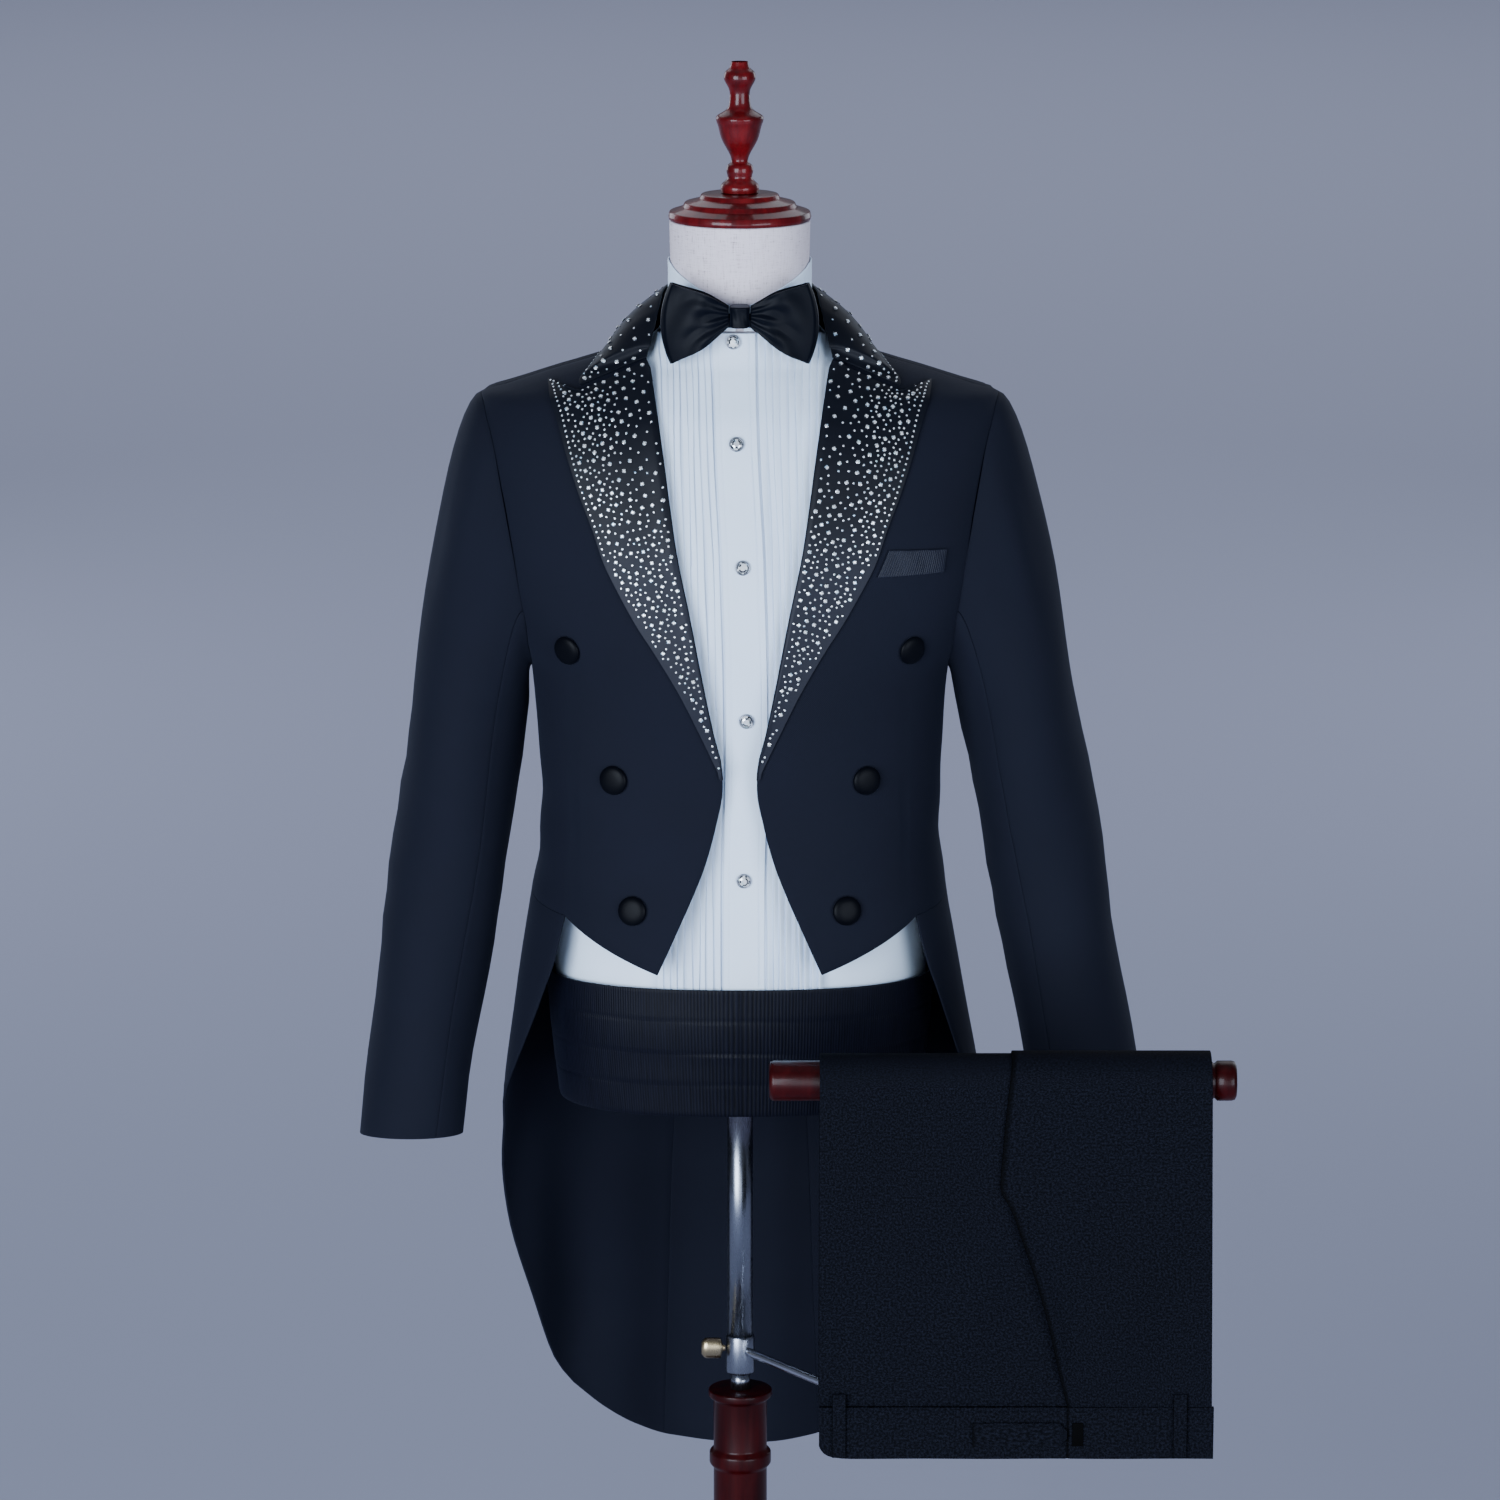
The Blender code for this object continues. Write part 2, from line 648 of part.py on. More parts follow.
def skirt(side):
    """Tail skirt sewn under the waist seam, cut away at the front"""
    slit = seam_turn()
    edge = smooth(SKIRT_EDGE)
    hem = smooth(TAIL_HEM)
    seam = back_seam_points(float(hem(TAIL_SEAM_TURN)), waist_seam(BACK_SEAM_TURN), TAIL_ROWS)
    seam[0] = (TAIL_SEAM_TURN, seam[0][1])
    right = [(turn - slit, z) for turn, z in seam]
    right[-1] = (right[-1][0], right[-1][1] - SEAM)
    left = [(float(edge(z)), z) for z in between(SKIRT_EDGE[0][0], WAIST_HEIGHT - SEAM, TAIL_ROWS)]
    steps = 8
    bottom = [(turn, float(hem(turn))) for turn in between(left[0][0], right[0][0], steps)]
    top = [(turn, waist_seam(turn) - SEAM) for turn in between(left[-1][0], right[-1][0], steps)]
    grid = patch(bottom, top, left, right)
    panel(f"coat_skirt_{side}", side, coat, grid[..., 0], grid[..., 1], 0.0, COAT_CLOTH, "wool")


def sleeve_section(side, ring, height):
    """Point of the hanging sleeve below the biceps"""
    table = SLEEVE_SECTIONS[side]
    centre_x, centre_y, half_width, half_depth = (smooth(table, column)(height) for column in (1, 2, 3, 4))
    angle = np.radians(ring)
    return np.stack(np.broadcast_arrays(centre_x + half_width * np.cos(angle),
                                        centre_y - half_depth * np.sin(angle), height), axis=-1)


def sleeve_path(side, ring, cap_rows, arm_rows):
    """Points from the armhole over the cap and down to the cuff, for one angle round the sleeve"""
    face = "front" if ring <= 180 else "back"
    turn, height = armhole(min(ring, 360 - ring), face)
    start = coat(turn, height)
    biceps = SLEEVE_SECTIONS[side][-1][0]
    end = sleeve_section(side, ring, biceps)
    fall = sleeve_section(side, ring, biceps - 0.02) - end
    length = np.linalg.norm(end - start)
    leave = 0.29 * length * np.array((1.0, -0.35 * math.sin(math.radians(ring)), -0.18))
    arrive = fall / np.linalg.norm(fall) * length * 0.95
    start = start + leave / np.linalg.norm(leave) * SEAM * 1.6
    t = between(0, 1, cap_rows)[:, None]
    cap = (start * (1 + 2 * t) * (1 - t) ** 2 + leave * t * (1 - t) ** 2
           + end * t * t * (3 - 2 * t) + arrive * t * t * (t - 1))
    cuff = CUFF_HEIGHT + 0.006 * math.sin(math.radians(ring))
    arm = sleeve_section(side, ring, between(biceps, cuff, arm_rows)[1:])
    return np.concatenate((cap, arm))


def sleeve(side):
    """Two-piece sleeve, a top piece and an under piece"""
    step = 360 // RING_STEPS
    slit = math.degrees(SEAM / 2 / 0.045)
    parts = (("top", range(-SLEEVE_SEAM, SLEEVE_SEAM + 1, step)), ("under", range(SLEEVE_SEAM, 361 - SLEEVE_SEAM, step)))
    for part, rings in parts:
        rings = [float(ring) for ring in rings]
        rings[0] += slit
        rings[-1] -= slit
        outer = np.array([sleeve_path(side, ring % 360, 4, 4) for ring in rings])
        ahead = np.array([sleeve_path(side, (ring + 4) % 360, 4, 4) for ring in rings])
        behind = np.array([sleeve_path(side, (ring - 4) % 360, 4, 4) for ring in rings])
        normals = np.cross(ahead - behind, np.gradient(outer, axis=1))
        normals /= np.linalg.norm(normals, axis=-1, keepdims=True)
        inner = outer - normals * COAT_CLOTH
        wall(f"coat_{part}_sleeve_{side}", sided(side, outer), sided(side, inner), "wool")


def lapel(side):
    """Satin lapel lying on the forepart, from the break to the notch"""
    edge = smooth(FRONT_EDGE)
    outline = smooth(LAPEL_EDGE)
    rises = 1 - (1 - between(0, 1, 15)) ** 1.5
    left = [(float(turn_of(coat, edge(z) + 0.0004, z)), z) for z in 1.113 + (GORGE_INNER[1] - 1.113) * rises]
    right = [(float(turn_of(coat, max(outline(z), edge(z) + 0.0030), z)), z)
             for z in 1.1145 + (LAPEL_TIP[1] - 1.1145) * rises]
    corners = (GORGE_INNER, NOTCH, LAPEL_TIP)
    shares = (0.0, 0.35, 0.7, 0.86, 1.0)
    reaches = np.interp(shares, (0.0, 0.7, 1.0), [corner[0] for corner in corners])
    heights = np.interp(shares, (0.0, 0.7, 1.0), [corner[1] for corner in corners])
    top = [(float(turn_of(coat, reach, height)), height) for reach, height in zip(reaches, heights)]
    bottom = [tuple(np.array(left[0]) + (np.array(right[0]) - left[0]) * share) for share in shares]
    left[-1], right[-1] = top[0], top[-1]
    grid = patch(bottom, top, left, right)
    panel(f"coat_lapel_{side}", side, coat, grid[..., 0], grid[..., 1], LAPEL_OUT, SATIN, "satin")


def collar_grid(columns, rows):
    """Collar fall from its outer edge up to the fold, round the back from gorge to gorge"""
    fold_x, fold_y, fold_z, edge_turn, edge_height = (smooth(COLLAR_SECTIONS, column) for column in range(1, 6))
    grid = []
    for share in between(-1, 1, columns):
        along = 1 - abs(share)
        fold = np.array((fold_x(along), fold_y(along), fold_z(along)))
        edge = coat(edge_turn(along), edge_height(along), COLLAR_OUT)
        outward = np.array((edge[0], edge[1], 0.04))
        outward /= np.linalg.norm(outward)
        line = [edge + (fold - edge) * rise + outward * COLLAR_BULGE * math.sin(math.pi * rise)
                for rise in between(0, 1, rows)]
        grid.append(np.array(line) * (math.copysign(1, -share), 1, 1))
    return np.array(grid)


def collar():
    """Satin collar fall round the back of the neck"""
    outer = collar_grid(20, 4)
    wall("coat_collar", outer, outer - grid_normals(outer) * SATIN, "satin")


def collar_stand():
    """Band between the neck edge of the coat and the fold of the collar"""
    grid = []
    for turn in between(84, 276, 12):
        low = coat(turn, NECK_HEIGHT + 0.0012, -0.0002)
        angle = math.radians(turn)
        radius = COLLAR_STAND_RADIUS + COLLAR_STAND_FLARE * max(0.0, -math.cos(angle))
        high = np.array((radius * math.sin(angle), -radius * math.cos(angle), COLLAR_STAND_TOP))
        grid.append([low + (high - low) * share for share in between(0, 1, 2)])
    outer = np.array(grid)
    wall("coat_collar_stand", outer, outer - grid_normals(outer) * SATIN, "wool")


def button(name, side, reach, height):
    turn = turn_of(coat, reach, height)
    place = coat(turn, height, 0.0002)
    normal = coat(turn, height, 1.0) - coat(turn, height)
    if side == "left":
        place[0] *= -1
        normal[0] *= -1
    dome(name, place, normal, BUTTON_RADIUS, 0.0052, "satin")


def welt():
    """Welt of the breast pocket, on the +X forepart"""
    corners = [(float(turn_of(coat, reach, height)), height) for reach, height in WELT_CORNERS]
    upper_left, upper_right, lower_right, lower_left = (np.array(corner) for corner in corners)
    bottom = [lower_left + (lower_right - lower_left) * share for share in between(0, 1, 4)]
    top = [upper_left + (upper_right - upper_left) * share for share in between(0, 1, 4)]
    grid = patch(bottom, top, [bottom[0], top[0]], [bottom[-1], top[-1]])
    panel("coat_breast_welt", "right", coat, grid[..., 0], grid[..., 1], 0.0026, 0.0016, "satin")


def tailcoat():
    for side in ("left", "right"):
        forepart(side)
        side_body(side)
        back_panel(side)
        skirt(side)
        sleeve(side)
        lapel(side)
        for count, (reach, height) in enumerate(BUTTONS, 1):
            button(f"coat_button_{side}_{count}", side, reach, height)
    collar()
    collar_stand()
    welt()


# Shirt, bow tie and sash

def shirt_rows(top):
    """Heights of a shirt panel's rows up to its top, close together near the shoulder"""
    return np.concatenate((SHIRT_LEVELS, top - (top - SHIRT_LEVELS[-1]) * np.array(SHIRT_TOP_STEPS)))


def signed_turn(reach, height):
    """Turn on the form's front for a reach that may lie on either side of the middle"""
    return np.sign(reach) * turn_of(torso, np.abs(reach), height)


def shirt_side_line(share, inner_reach, face):
    """Turns and heights of one column beside the pleats, up to the shoulder ridge"""
    ridge_reach = inner_reach + (SHIRT_SHOULDER - inner_reach) * share
    ridge_levels = np.linspace(1.395, 1.485, 91)
    top = float(np.interp(-ridge_reach, -torso.half_width(ridge_levels), ridge_levels))
    line = shirt_rows(top)
    ring = np.degrees(np.arccos(np.clip((line - ARMHOLE_CENTRE) / SHIRT_ARMHOLE_RADIUS, -1, 1)))
    limit = np.where(line < ARMHOLE_CENTRE - SHIRT_ARMHOLE_RADIUS, 90.0, smooth(ARMHOLE_TURNS, 1)(ring)) - seam_turn()
    inner_turn = turn_of(torso, inner_reach, line)
    low_turn = inner_turn + (limit - inner_turn) * share
    high_turn = np.minimum(turn_of(torso, ridge_reach, line), 90 - seam_turn())
    blend = np.clip((line - 1.29) / 0.09, 0, 1)
    turn = low_turn + (high_turn - low_turn) * blend * blend * (3 - 2 * blend)
    turn[-1] = 90 - seam_turn()
    return (turn if face == "front" else 180 - turn), line


def shirt_front(side):
    """Shirt front with knife pleats beside the placket"""
    neck, drift = smooth(SHIRT_NECKLINE), smooth(PLACKET_DRIFT)
    toward = 1 if side == "right" else -1
    reaches, rises = [0.0015, PLEAT_START - 0.0010], [0.0, 0.0]
    for count in range(PLEATS):
        start = PLEAT_START + count * PLEAT_WIDTH
        reaches += [start, start + PLEAT_WIDTH - 0.0006]
        rises += [PLEAT_RISE, 0.0]
    lines = []
    for reach in reaches:
        heights = shirt_rows(float(neck(reach)))
        slip = min(1.0, (reaches[-1] - reach) / (reaches[-1] - PLEAT_START))
        lines.append((signed_turn(reach + toward * slip * drift(heights), heights), heights))
    lines += [shirt_side_line(share, reaches[-1], "front") for share in between(0, 1, 6)[1:]]
    turns, heights = (np.array([line[part] for line in lines]) for part in (0, 1))
    outs = SHIRT_OUT + np.array(rises + [0.0] * 6)[:, None] + np.zeros_like(turns)
    outer = torso(turns, heights, outs)
    inner = torso(turns, heights, SHIRT_OUT - SHIRT_CLOTH)
    wall(f"shirt_front_{side}", sided(side, outer), sided(side, inner), "shirting")


def shirt_back():
    """Plain back of the shirt, under the coat"""
    half = [shirt_side_line(share, 0.0700, "back") for share in between(1, 0, 6)]
    for share in (0.66, 0.33):
        heights = shirt_rows(1.4690 + 0.0060 * (1 - share))
        half.append((180 - turn_of(torso, 0.0700 * share, heights), heights))
    middle = shirt_rows(1.4755)
    lines = half + [(np.full(len(middle), 180.0), middle)] + [(360 - turn, line) for turn, line in reversed(half)]
    turns, heights = (np.array([line[part] for line in lines]) for part in (0, 1))
    outer = torso(turns, heights, SHIRT_OUT)
    wall("shirt_back", outer, torso(turns, heights, SHIRT_OUT - SHIRT_CLOTH), "shirting")


def placket():
    """Strip down the middle of the shirt that carries the studs"""
    heights = shirt_rows(SHIRT_NECKLINE[0][1])
    heights[0] = 0.8360
    middle = smooth(PLACKET_DRIFT)(heights)
    turns = np.array([signed_turn(middle + PLACKET_HALF * part, heights) for part in (-1, 0, 1)])
    levels = np.broadcast_to(heights, turns.shape)
    outer = torso(turns, levels, SHIRT_OUT + PLACKET_OUT)
    wall("shirt_placket", outer, torso(turns, levels, SHIRT_OUT + 0.0009), "shirting")


def shirt_collar():
    """Stand-up collar band, dipped at the front"""
    top = smooth(SHIRT_COLLAR_TOPS)
    lines = []
    for turn in [3.0] + list(range(15, 346, 15)) + [357.0]:
        levels = (1.4775, 1.4860, 1.4940, float(top(min(turn, 360 - turn))))
        lines.append((np.full(4, turn), levels))
    turns, heights = (np.array([line[part] for line in lines]) for part in (0, 1))
    wall("shirt_collar", torso(turns, heights, 0.0021), torso(turns, heights, 0.0008), "shirting")


def stud(name, height, gap):
    turn = float(signed_turn(smooth(PLACKET_DRIFT)(height), height))
    place = torso(turn, height, SHIRT_OUT + PLACKET_OUT + gap)
    normal = torso(turn, height, 1.0) - torso(turn, height)
    dome(name, place, normal, STUD_RADIUS, 0.0040, "crystal", segments=8)


def bow_wing(side):
    """One looped wing of the bow tie, a folded sheet with its front and back leaf"""
    half_height = smooth(((0.0, 0.0082), (0.12, 0.0125), (0.45, 0.0230), (1.0, 0.0340)))
    leaf = list(between(0, 0.96, 5))
    route = [(share, "front") for share in leaf] + [(1.0, "fold")] + [(share, "back") for share in reversed(leaf)]
    grid = []
    for share, face in route:
        front = -0.0775 - 0.0050 * math.sin(math.pi * share) + 0.0090 * share ** 2
        rear = -0.0675 + 0.0030 * share + 0.0065 * share ** 2
        y = {"front": front, "fold": (front + rear) / 2, "back": rear}[face]
        centre = BOW_HEIGHT - 0.0070 * share
        line = []
        for level in between(-1, 1, 5):
            x = 0.0091 + 0.0485 * share + 0.0080 * share ** 4 * (1 - level * level)
            line.append((x, y, centre + float(half_height(share)) * level))
        grid.append(line)
    outer = np.array(grid)
    inner = outer - grid_normals(outer) * BOW_CLOTH
    wall(f"bow_wing_{side}", sided(side, outer), sided(side, inner), "satin")


def bow_knot():
    """Knot between the wings"""
    rings = ((-0.0088, 0.0074, 0.0105), (-0.0070, 0.0088, 0.0122), (0.0, 0.0082, 0.0125),
             (0.0070, 0.0088, 0.0122), (0.0088, 0.0074, 0.0105))
    points, faces, segments = [], [], 14
    for level, half_width, half_depth in rings:
        for angle in between(0, math.tau, segments)[:-1]:
            across = math.copysign(abs(math.cos(angle)) ** 0.7, math.cos(angle))
            ahead = math.copysign(abs(math.sin(angle)) ** 0.7, math.sin(angle))
            points.append((half_width * across, BOW_KNOT_Y + half_depth * ahead, BOW_HEIGHT + level))
    for ring in range(len(rings) - 1):
        low, high = ring * segments, (ring + 1) * segments
        for i in range(segments):
            j = (i + 1) % segments
            faces.append((low + i, low + j, high + j, high + i))
    faces.append(tuple(reversed(range(segments))))
    faces.append(tuple(range((len(rings) - 1) * segments, len(rings) * segments)))
    add_object("bow_knot", points, faces, "satin")


def bow_band():
    """Band of the bow tie round the collar"""
    turns, heights = np.meshgrid(between(0, 360, 24)[:-1], between(1.4810, 1.4930, 2), indexing="ij")
    wall("bow_band", torso(turns, heights, 0.0044), torso(turns, heights, 0.0032), "satin", ring=True)


def sash():
    """Pleated sash round the waist, over the shirt"""
    columns = 28
    grid_turns, grid_heights, outs = [], [], []
    for turn in between(0, 360, columns)[:-1]:
        droop = SASH_DROOP * (0.5 - 0.5 * math.cos(math.radians(turn)))
        top = SASH_TOP - droop
        low = SASH_BOTTOM - droop
        pleat = (top - low) / SASH_PLEATS
        line, out = [], []
        for count in range(SASH_PLEATS):
            start = low + count * pleat
            line += [start, start + pleat - 0.0012]
            out += [0.0110, 0.0097]
        line.append(top)
        out.append(0.0103)
        grid_turns.append(np.full(len(line), turn))
        grid_heights.append(line)
        outs.append(out)
    turns, heights = np.array(grid_turns), np.array(grid_heights)
    inner = torso(turns, heights, SASH_INNER)
    wall("sash", torso(turns, heights, np.array(outs)), inner, "satin", ring=True)


def shirt_and_sash():
    for side in ("left", "right"):
        shirt_front(side)
        bow_wing(side)
    shirt_back()
    placket()
    shirt_collar()
    for count, (height, gap) in enumerate(STUDS, 1):
        stud(f"stud_{count}", height, gap)
    bow_knot()
    bow_band()
    sash()


# Trousers over the rod

def drape(level, rear_spread, low_front, low_rear, front_rows=8, rear_rows=3):
    """Points (y, z) from the front hem over the rod and down behind, at a distance from the rod's axis"""
    _, rod_y, rod_z = ROD_CENTRE
    points = [(rod_y - level, z) for z in between(low_front, rod_z, front_rows)]
    for angle in between(180, 0, 8)[1:]:
        points.append((rod_y + level * math.cos(math.radians(angle)), rod_z + level * math.sin(math.radians(angle))))
    for share in between(0, 1, rear_rows)[1:]:
        spread = rear_spread * share * share * (3 - 2 * share)
        points.append((rod_y + level + spread, rod_z + (low_rear - rod_z) * share))
    return np.array(points)


def draped_sheet(name, level, thickness, rear_spread, edges, finish_name, low_front, low_rear):
    """Sheet over the rod; edges gives the two side edges for a height on the front"""
    outer_path = drape(level + thickness, rear_spread, low_front, low_rear)
    inner_path = drape(level, rear_spread, low_front, low_rear)
    grids = []
    for path in (outer_path, inner_path):
        grid = []
        for share in between(0, 1, 5):
            line = []
            for step, (y, z) in enumerate(path):
                front = y < ROD_CENTRE[1]
                start, end = edges(z if front else 0.93)
                line.append((start + (end - start) * share, y, z))
            grid.append(line)
        grids.append(np.array(grid))
    wall(name, grids[0], grids[1], finish_name)


def trousers():
    seam = smooth(TROUSER_SEAM)
    spread = 0.0090

    def left_edges(height):
        return TROUSER_LEFT, float(seam(height)) + 0.018

    def right_edges(height):
        return float(seam(height)), TROUSER_RIGHT + 0.004 * max(0.0, 0.92 - height) / 0.3

    low = BAND_TOP + SEAM
    draped_sheet("trouser_half_left", 0.0206, TROUSER_CLOTH, spread, left_edges, "wool", low, 0.606)
    draped_sheet("trouser_half_right", 0.0228, TROUSER_CLOTH, spread, right_edges, "wool", low, 0.600)
    folded_legs(spread)
    waistband()


def folded_legs(spread):
    """Hidden layers over the rod as one solid, stepped like layers at both side edges"""
    inner_path = drape(ROD_RADIUS + 0.0006, 0.0, 0.602, 0.612, front_rows=2)
    outer_path = drape(0.0203, spread, 0.602, 0.612, front_rows=2)
    steps = ((0.0, 0.0), (0.30, 0.0), (0.34, 0.004), (0.62, 0.004), (0.66, 0.001), (1.0, 0.001))
    outline = [(TROUSER_LEFT + 0.004 + inset, depth) for depth, inset in steps]
    outline += [(TROUSER_RIGHT - 0.006 - inset, depth) for depth, inset in reversed(steps)]
    points, faces = [], []
    for (inner_y, inner_z), (outer_y, outer_z) in zip(inner_path, outer_path):
        for x, depth in outline:
            points.append((x, inner_y + (outer_y - inner_y) * depth, inner_z + (outer_z - inner_z) * depth))
    count = len(outline)
    for ring in range(len(inner_path) - 1):
        for i in range(count):
            j = (i + 1) % count
            low, high = ring * count, (ring + 1) * count
            faces.append((low + i, low + j, high + j, high + i))
    last = (len(inner_path) - 1) * count
    for i in range(len(steps) - 1):
        left, right = i, count - 1 - i
        faces.append((left + 1, left, right, right - 1))
        faces.append((last + left, last + left + 1, last + right - 1, last + right))
    add_object("trouser_folded_legs", points, faces, "wool")


def flat_strip(name, outline_low, outline_high, front, thickness, finish_name):
    """Upright strip between two edges of (x, z) points, its face at a distance in front"""
    outer = np.array([[(x, front, z) for x, z in pair] for pair in zip(outline_low, outline_high)])
    inner = outer + np.array((0.0, thickness, 0.0))
    return wall(name, outer, inner, finish_name)


def waistband():
    """Waistband across the bottom, its two belt loops and the closure tab"""
    face = ROD_CENTRE[1] - 0.0228 - TROUSER_CLOTH
    reach = TROUSER_RIGHT + 0.0055 - TROUSER_LEFT
    shares = (0.0, 0.012, 0.035, 0.08, 0.3, 0.5, 0.75, 1.0)
    lifts = (0.011, 0.005, 0.0012, 0.0, 0.0, 0.0, 0.0, 0.0)
    low = [(TROUSER_LEFT + reach * share, TROUSER_BOTTOM + lift) for share, lift in zip(shares, lifts)]
    high = [(x, BAND_TOP) for x, _ in low]
    flat_strip("trouser_waistband", low, high, face, 0.0040, "wool")
    for count, x in enumerate((0.0815, 0.3610), 1):
        low = [(x - 0.0057, 0.5830), (x + 0.0057, 0.5830)]
        high = [(x - 0.0057, 0.6375), (x + 0.0057, 0.6375)]
        flat_strip(f"trouser_loop_{count}", low, high, face - 0.0003 - 0.0018, 0.0018, "wool")
    low = [(0.1909, 0.5926), (0.2620, 0.5926), (0.2684, 0.6000)]
    high = [(0.1909, 0.6128), (0.2620, 0.6128), (0.2684, 0.6060)]
    flat_strip("trouser_tab", low, high, face - 0.0003 - 0.0018, 0.0018, "wool")


# Dress form and stand

def form_body():
    """Closed limbless torso with its neck"""
    trunk = shirt_rows(SHIRT_NECKLINE[0][1])
    heights = np.concatenate(([FORM_BOTTOM], trunk[:-1], (1.4765, 1.4950, 1.5150, FORM_TOP)))
    segments = 24
    turns, levels = np.meshgrid(between(0, 360, segments)[:-1], heights, indexing="ij")
    hidden = (levels > FORM_SHOWN_LOW) & (levels < FORM_SHOWN_HIGH)
    grid = torso(turns, levels, np.where(hidden, -FORM_INSET, 0.0))
    rows = len(heights)
    points = list(grid.reshape(-1, 3)) + [(0.0, 0.0, heights[0]), (0.0, 0.0, heights[-1])]
    faces = []
    for i in range(segments):
        j = (i + 1) % segments
        for k in range(rows - 1):
            faces.append((i * rows + k, j * rows + k, j * rows + k + 1, i * rows + k + 1))
        faces.append((len(points) - 2, j * rows, i * rows))
        faces.append((len(points) - 1, i * rows + rows - 1, j * rows + rows - 1))
    add_object("form_body", points, faces, "linen")


def rod_along_x(name, centre, length, radius, finish_name, segments=20):
    """Rod along X with rounded ends and a groove near its +X end"""
    half = length / 2
    profile = ((-half, 0.0), (-half, radius * 0.75), (-half + 0.004, radius), (half - 0.020, radius),
               (half - 0.018, radius * 0.88), (half - 0.016, radius), (half - 0.004, radius),
               (half, radius * 0.75), (half, 0.0))
    points, faces = [(centre[0] - half, centre[1], centre[2])], []
    for x, size in profile[1:-1]:
        for angle in between(0, math.tau, segments)[:-1]:
            points.append((centre[0] + x, centre[1] + size * math.cos(angle), centre[2] + size * math.sin(angle)))
    points.append((centre[0] + half, centre[1], centre[2]))
    rings = len(profile) - 2
    for i in range(segments):
        j = (i + 1) % segments
        faces.append((0, 1 + j, 1 + i))
        for ring in range(rings - 1):
            low, high = 1 + ring * segments, 1 + (ring + 1) * segments
            faces.append((low + i, low + j, high + j, high + i))
        faces.append((1 + (rings - 1) * segments + i, 1 + (rings - 1) * segments + j, len(points) - 1))
    add_object(name, points, faces, finish_name)


def arm():
    """Bent steel arm from the clamp out to the middle of the rod"""
    rod_x, rod_y, rod_z = ROD_CENTRE
    along = np.array((rod_x, rod_y, 0.0)) / math.hypot(rod_x, rod_y)
    corner = np.array((rod_x, rod_y, ARM_HEIGHT))
    before, after = corner - along * ARM_BEND, corner + np.array((0, 0, ARM_BEND))
    points = [along * CLAMP_REACH + np.array((0, 0, ARM_HEIGHT))]
    points += [before * (1 - t) ** 2 + 2 * corner * t * (1 - t) + after * t ** 2 for t in between(0, 1, 5)]
    points.append(np.array((rod_x, rod_y, rod_z - ROD_RADIUS - SEAM)))
    curve = bpy.data.curves.new("stand_arm", "CURVE")
    curve.dimensions = "3D"
    curve.bevel_depth = ARM_RADIUS
    curve.bevel_resolution = 3
    curve.use_fill_caps = True
    spline = curve.splines.new("POLY")
    spline.points.add(len(points) - 1)
    for place, point in zip(spline.points, points):
        place.co = (*point, 1.0)
    curve.materials.append(finish("chrome"))
    item = bpy.data.objects.new("stand_arm", curve)
    bpy.context.scene.collection.objects.link(item)


def knob():
    """Flat oval thumb knob on the side of the clamp"""
    points, faces, segments = [], [], 14
    rings = ((CLAMP_REACH, 0.3), (0.0150, 0.3), (0.0165, 1.0), (0.0300, 1.0), (0.0335, 0.6))
    for reach, size in rings:
        for angle in between(0, math.tau, segments)[:-1]:
            y, z = 0.0055 * size * math.cos(angle), 0.0092 * size * math.sin(angle)
            points.append((-reach, KNOB_Y + y, KNOB_HEIGHT + z))
    for ring in range(len(rings) - 1):
        low, high = ring * segments, (ring + 1) * segments
        for i in range(segments):
            j = (i + 1) % segments
            faces.append((low + j, low + i, high + i, high + j))
    faces.append(tuple(range(segments)))
    faces.append(tuple(reversed(range((len(rings) - 1) * segments, len(rings) * segments))))
    add_object("stand_knob", points, faces, "brass")


def stand():
    form_body()
    turned("form_cap", CAP_PROFILE, "wood", segments=18)
    turned("form_finial", FINIAL_PROFILE, "wood", segments=12)
    turned("stand_base", BASE_PROFILE, "wood", segments=26)
    turned("stand_post", POST_PROFILE, "wood", segments=16)
    turned("stand_lower_rod", LOWER_ROD_PROFILE, "chrome", segments=16)
    turned("stand_clamp", CLAMP_PROFILE, "chrome", segments=18)
    turned("stand_pole", POLE_PROFILE, "chrome", segments=18)
    knob()
    arm()
    rod_along_x("trouser_rod", ROD_CENTRE, ROD_LENGTH, ROD_RADIUS, "wood")


clear_scene()
stand()
shirt_and_sash()
tailcoat()
trousers()
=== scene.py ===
# Evening tailcoat suit on a dress form: the pieces that show, their finishes, the light and the camera.
# Metres, +Z up, the front faces -Y. A turn is measured in degrees round the body: 0 at the front, 90 at +X.
import math

import bmesh
import bpy
import numpy as np
from mathutils import Matrix, Vector


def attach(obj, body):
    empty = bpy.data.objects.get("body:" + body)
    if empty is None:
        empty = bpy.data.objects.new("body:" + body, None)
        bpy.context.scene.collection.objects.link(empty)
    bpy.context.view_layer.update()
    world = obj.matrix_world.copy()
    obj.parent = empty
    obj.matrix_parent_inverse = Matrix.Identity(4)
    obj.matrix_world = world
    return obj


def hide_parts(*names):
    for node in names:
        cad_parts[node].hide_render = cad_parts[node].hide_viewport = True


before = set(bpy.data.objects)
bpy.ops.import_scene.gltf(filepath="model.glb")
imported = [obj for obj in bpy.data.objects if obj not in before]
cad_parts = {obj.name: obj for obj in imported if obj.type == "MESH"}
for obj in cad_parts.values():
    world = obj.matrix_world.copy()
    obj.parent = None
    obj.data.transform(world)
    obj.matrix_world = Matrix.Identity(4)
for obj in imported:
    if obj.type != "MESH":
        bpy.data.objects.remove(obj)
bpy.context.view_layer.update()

# Driving sizes
SEAM = 0.0003
COAT_CLOTH = 0.0020
SATIN = 0.0014
SHIRT_CLOTH = 0.0014
TROUSER_CLOTH = 0.0018
SHIRT_OUT = 0.0038
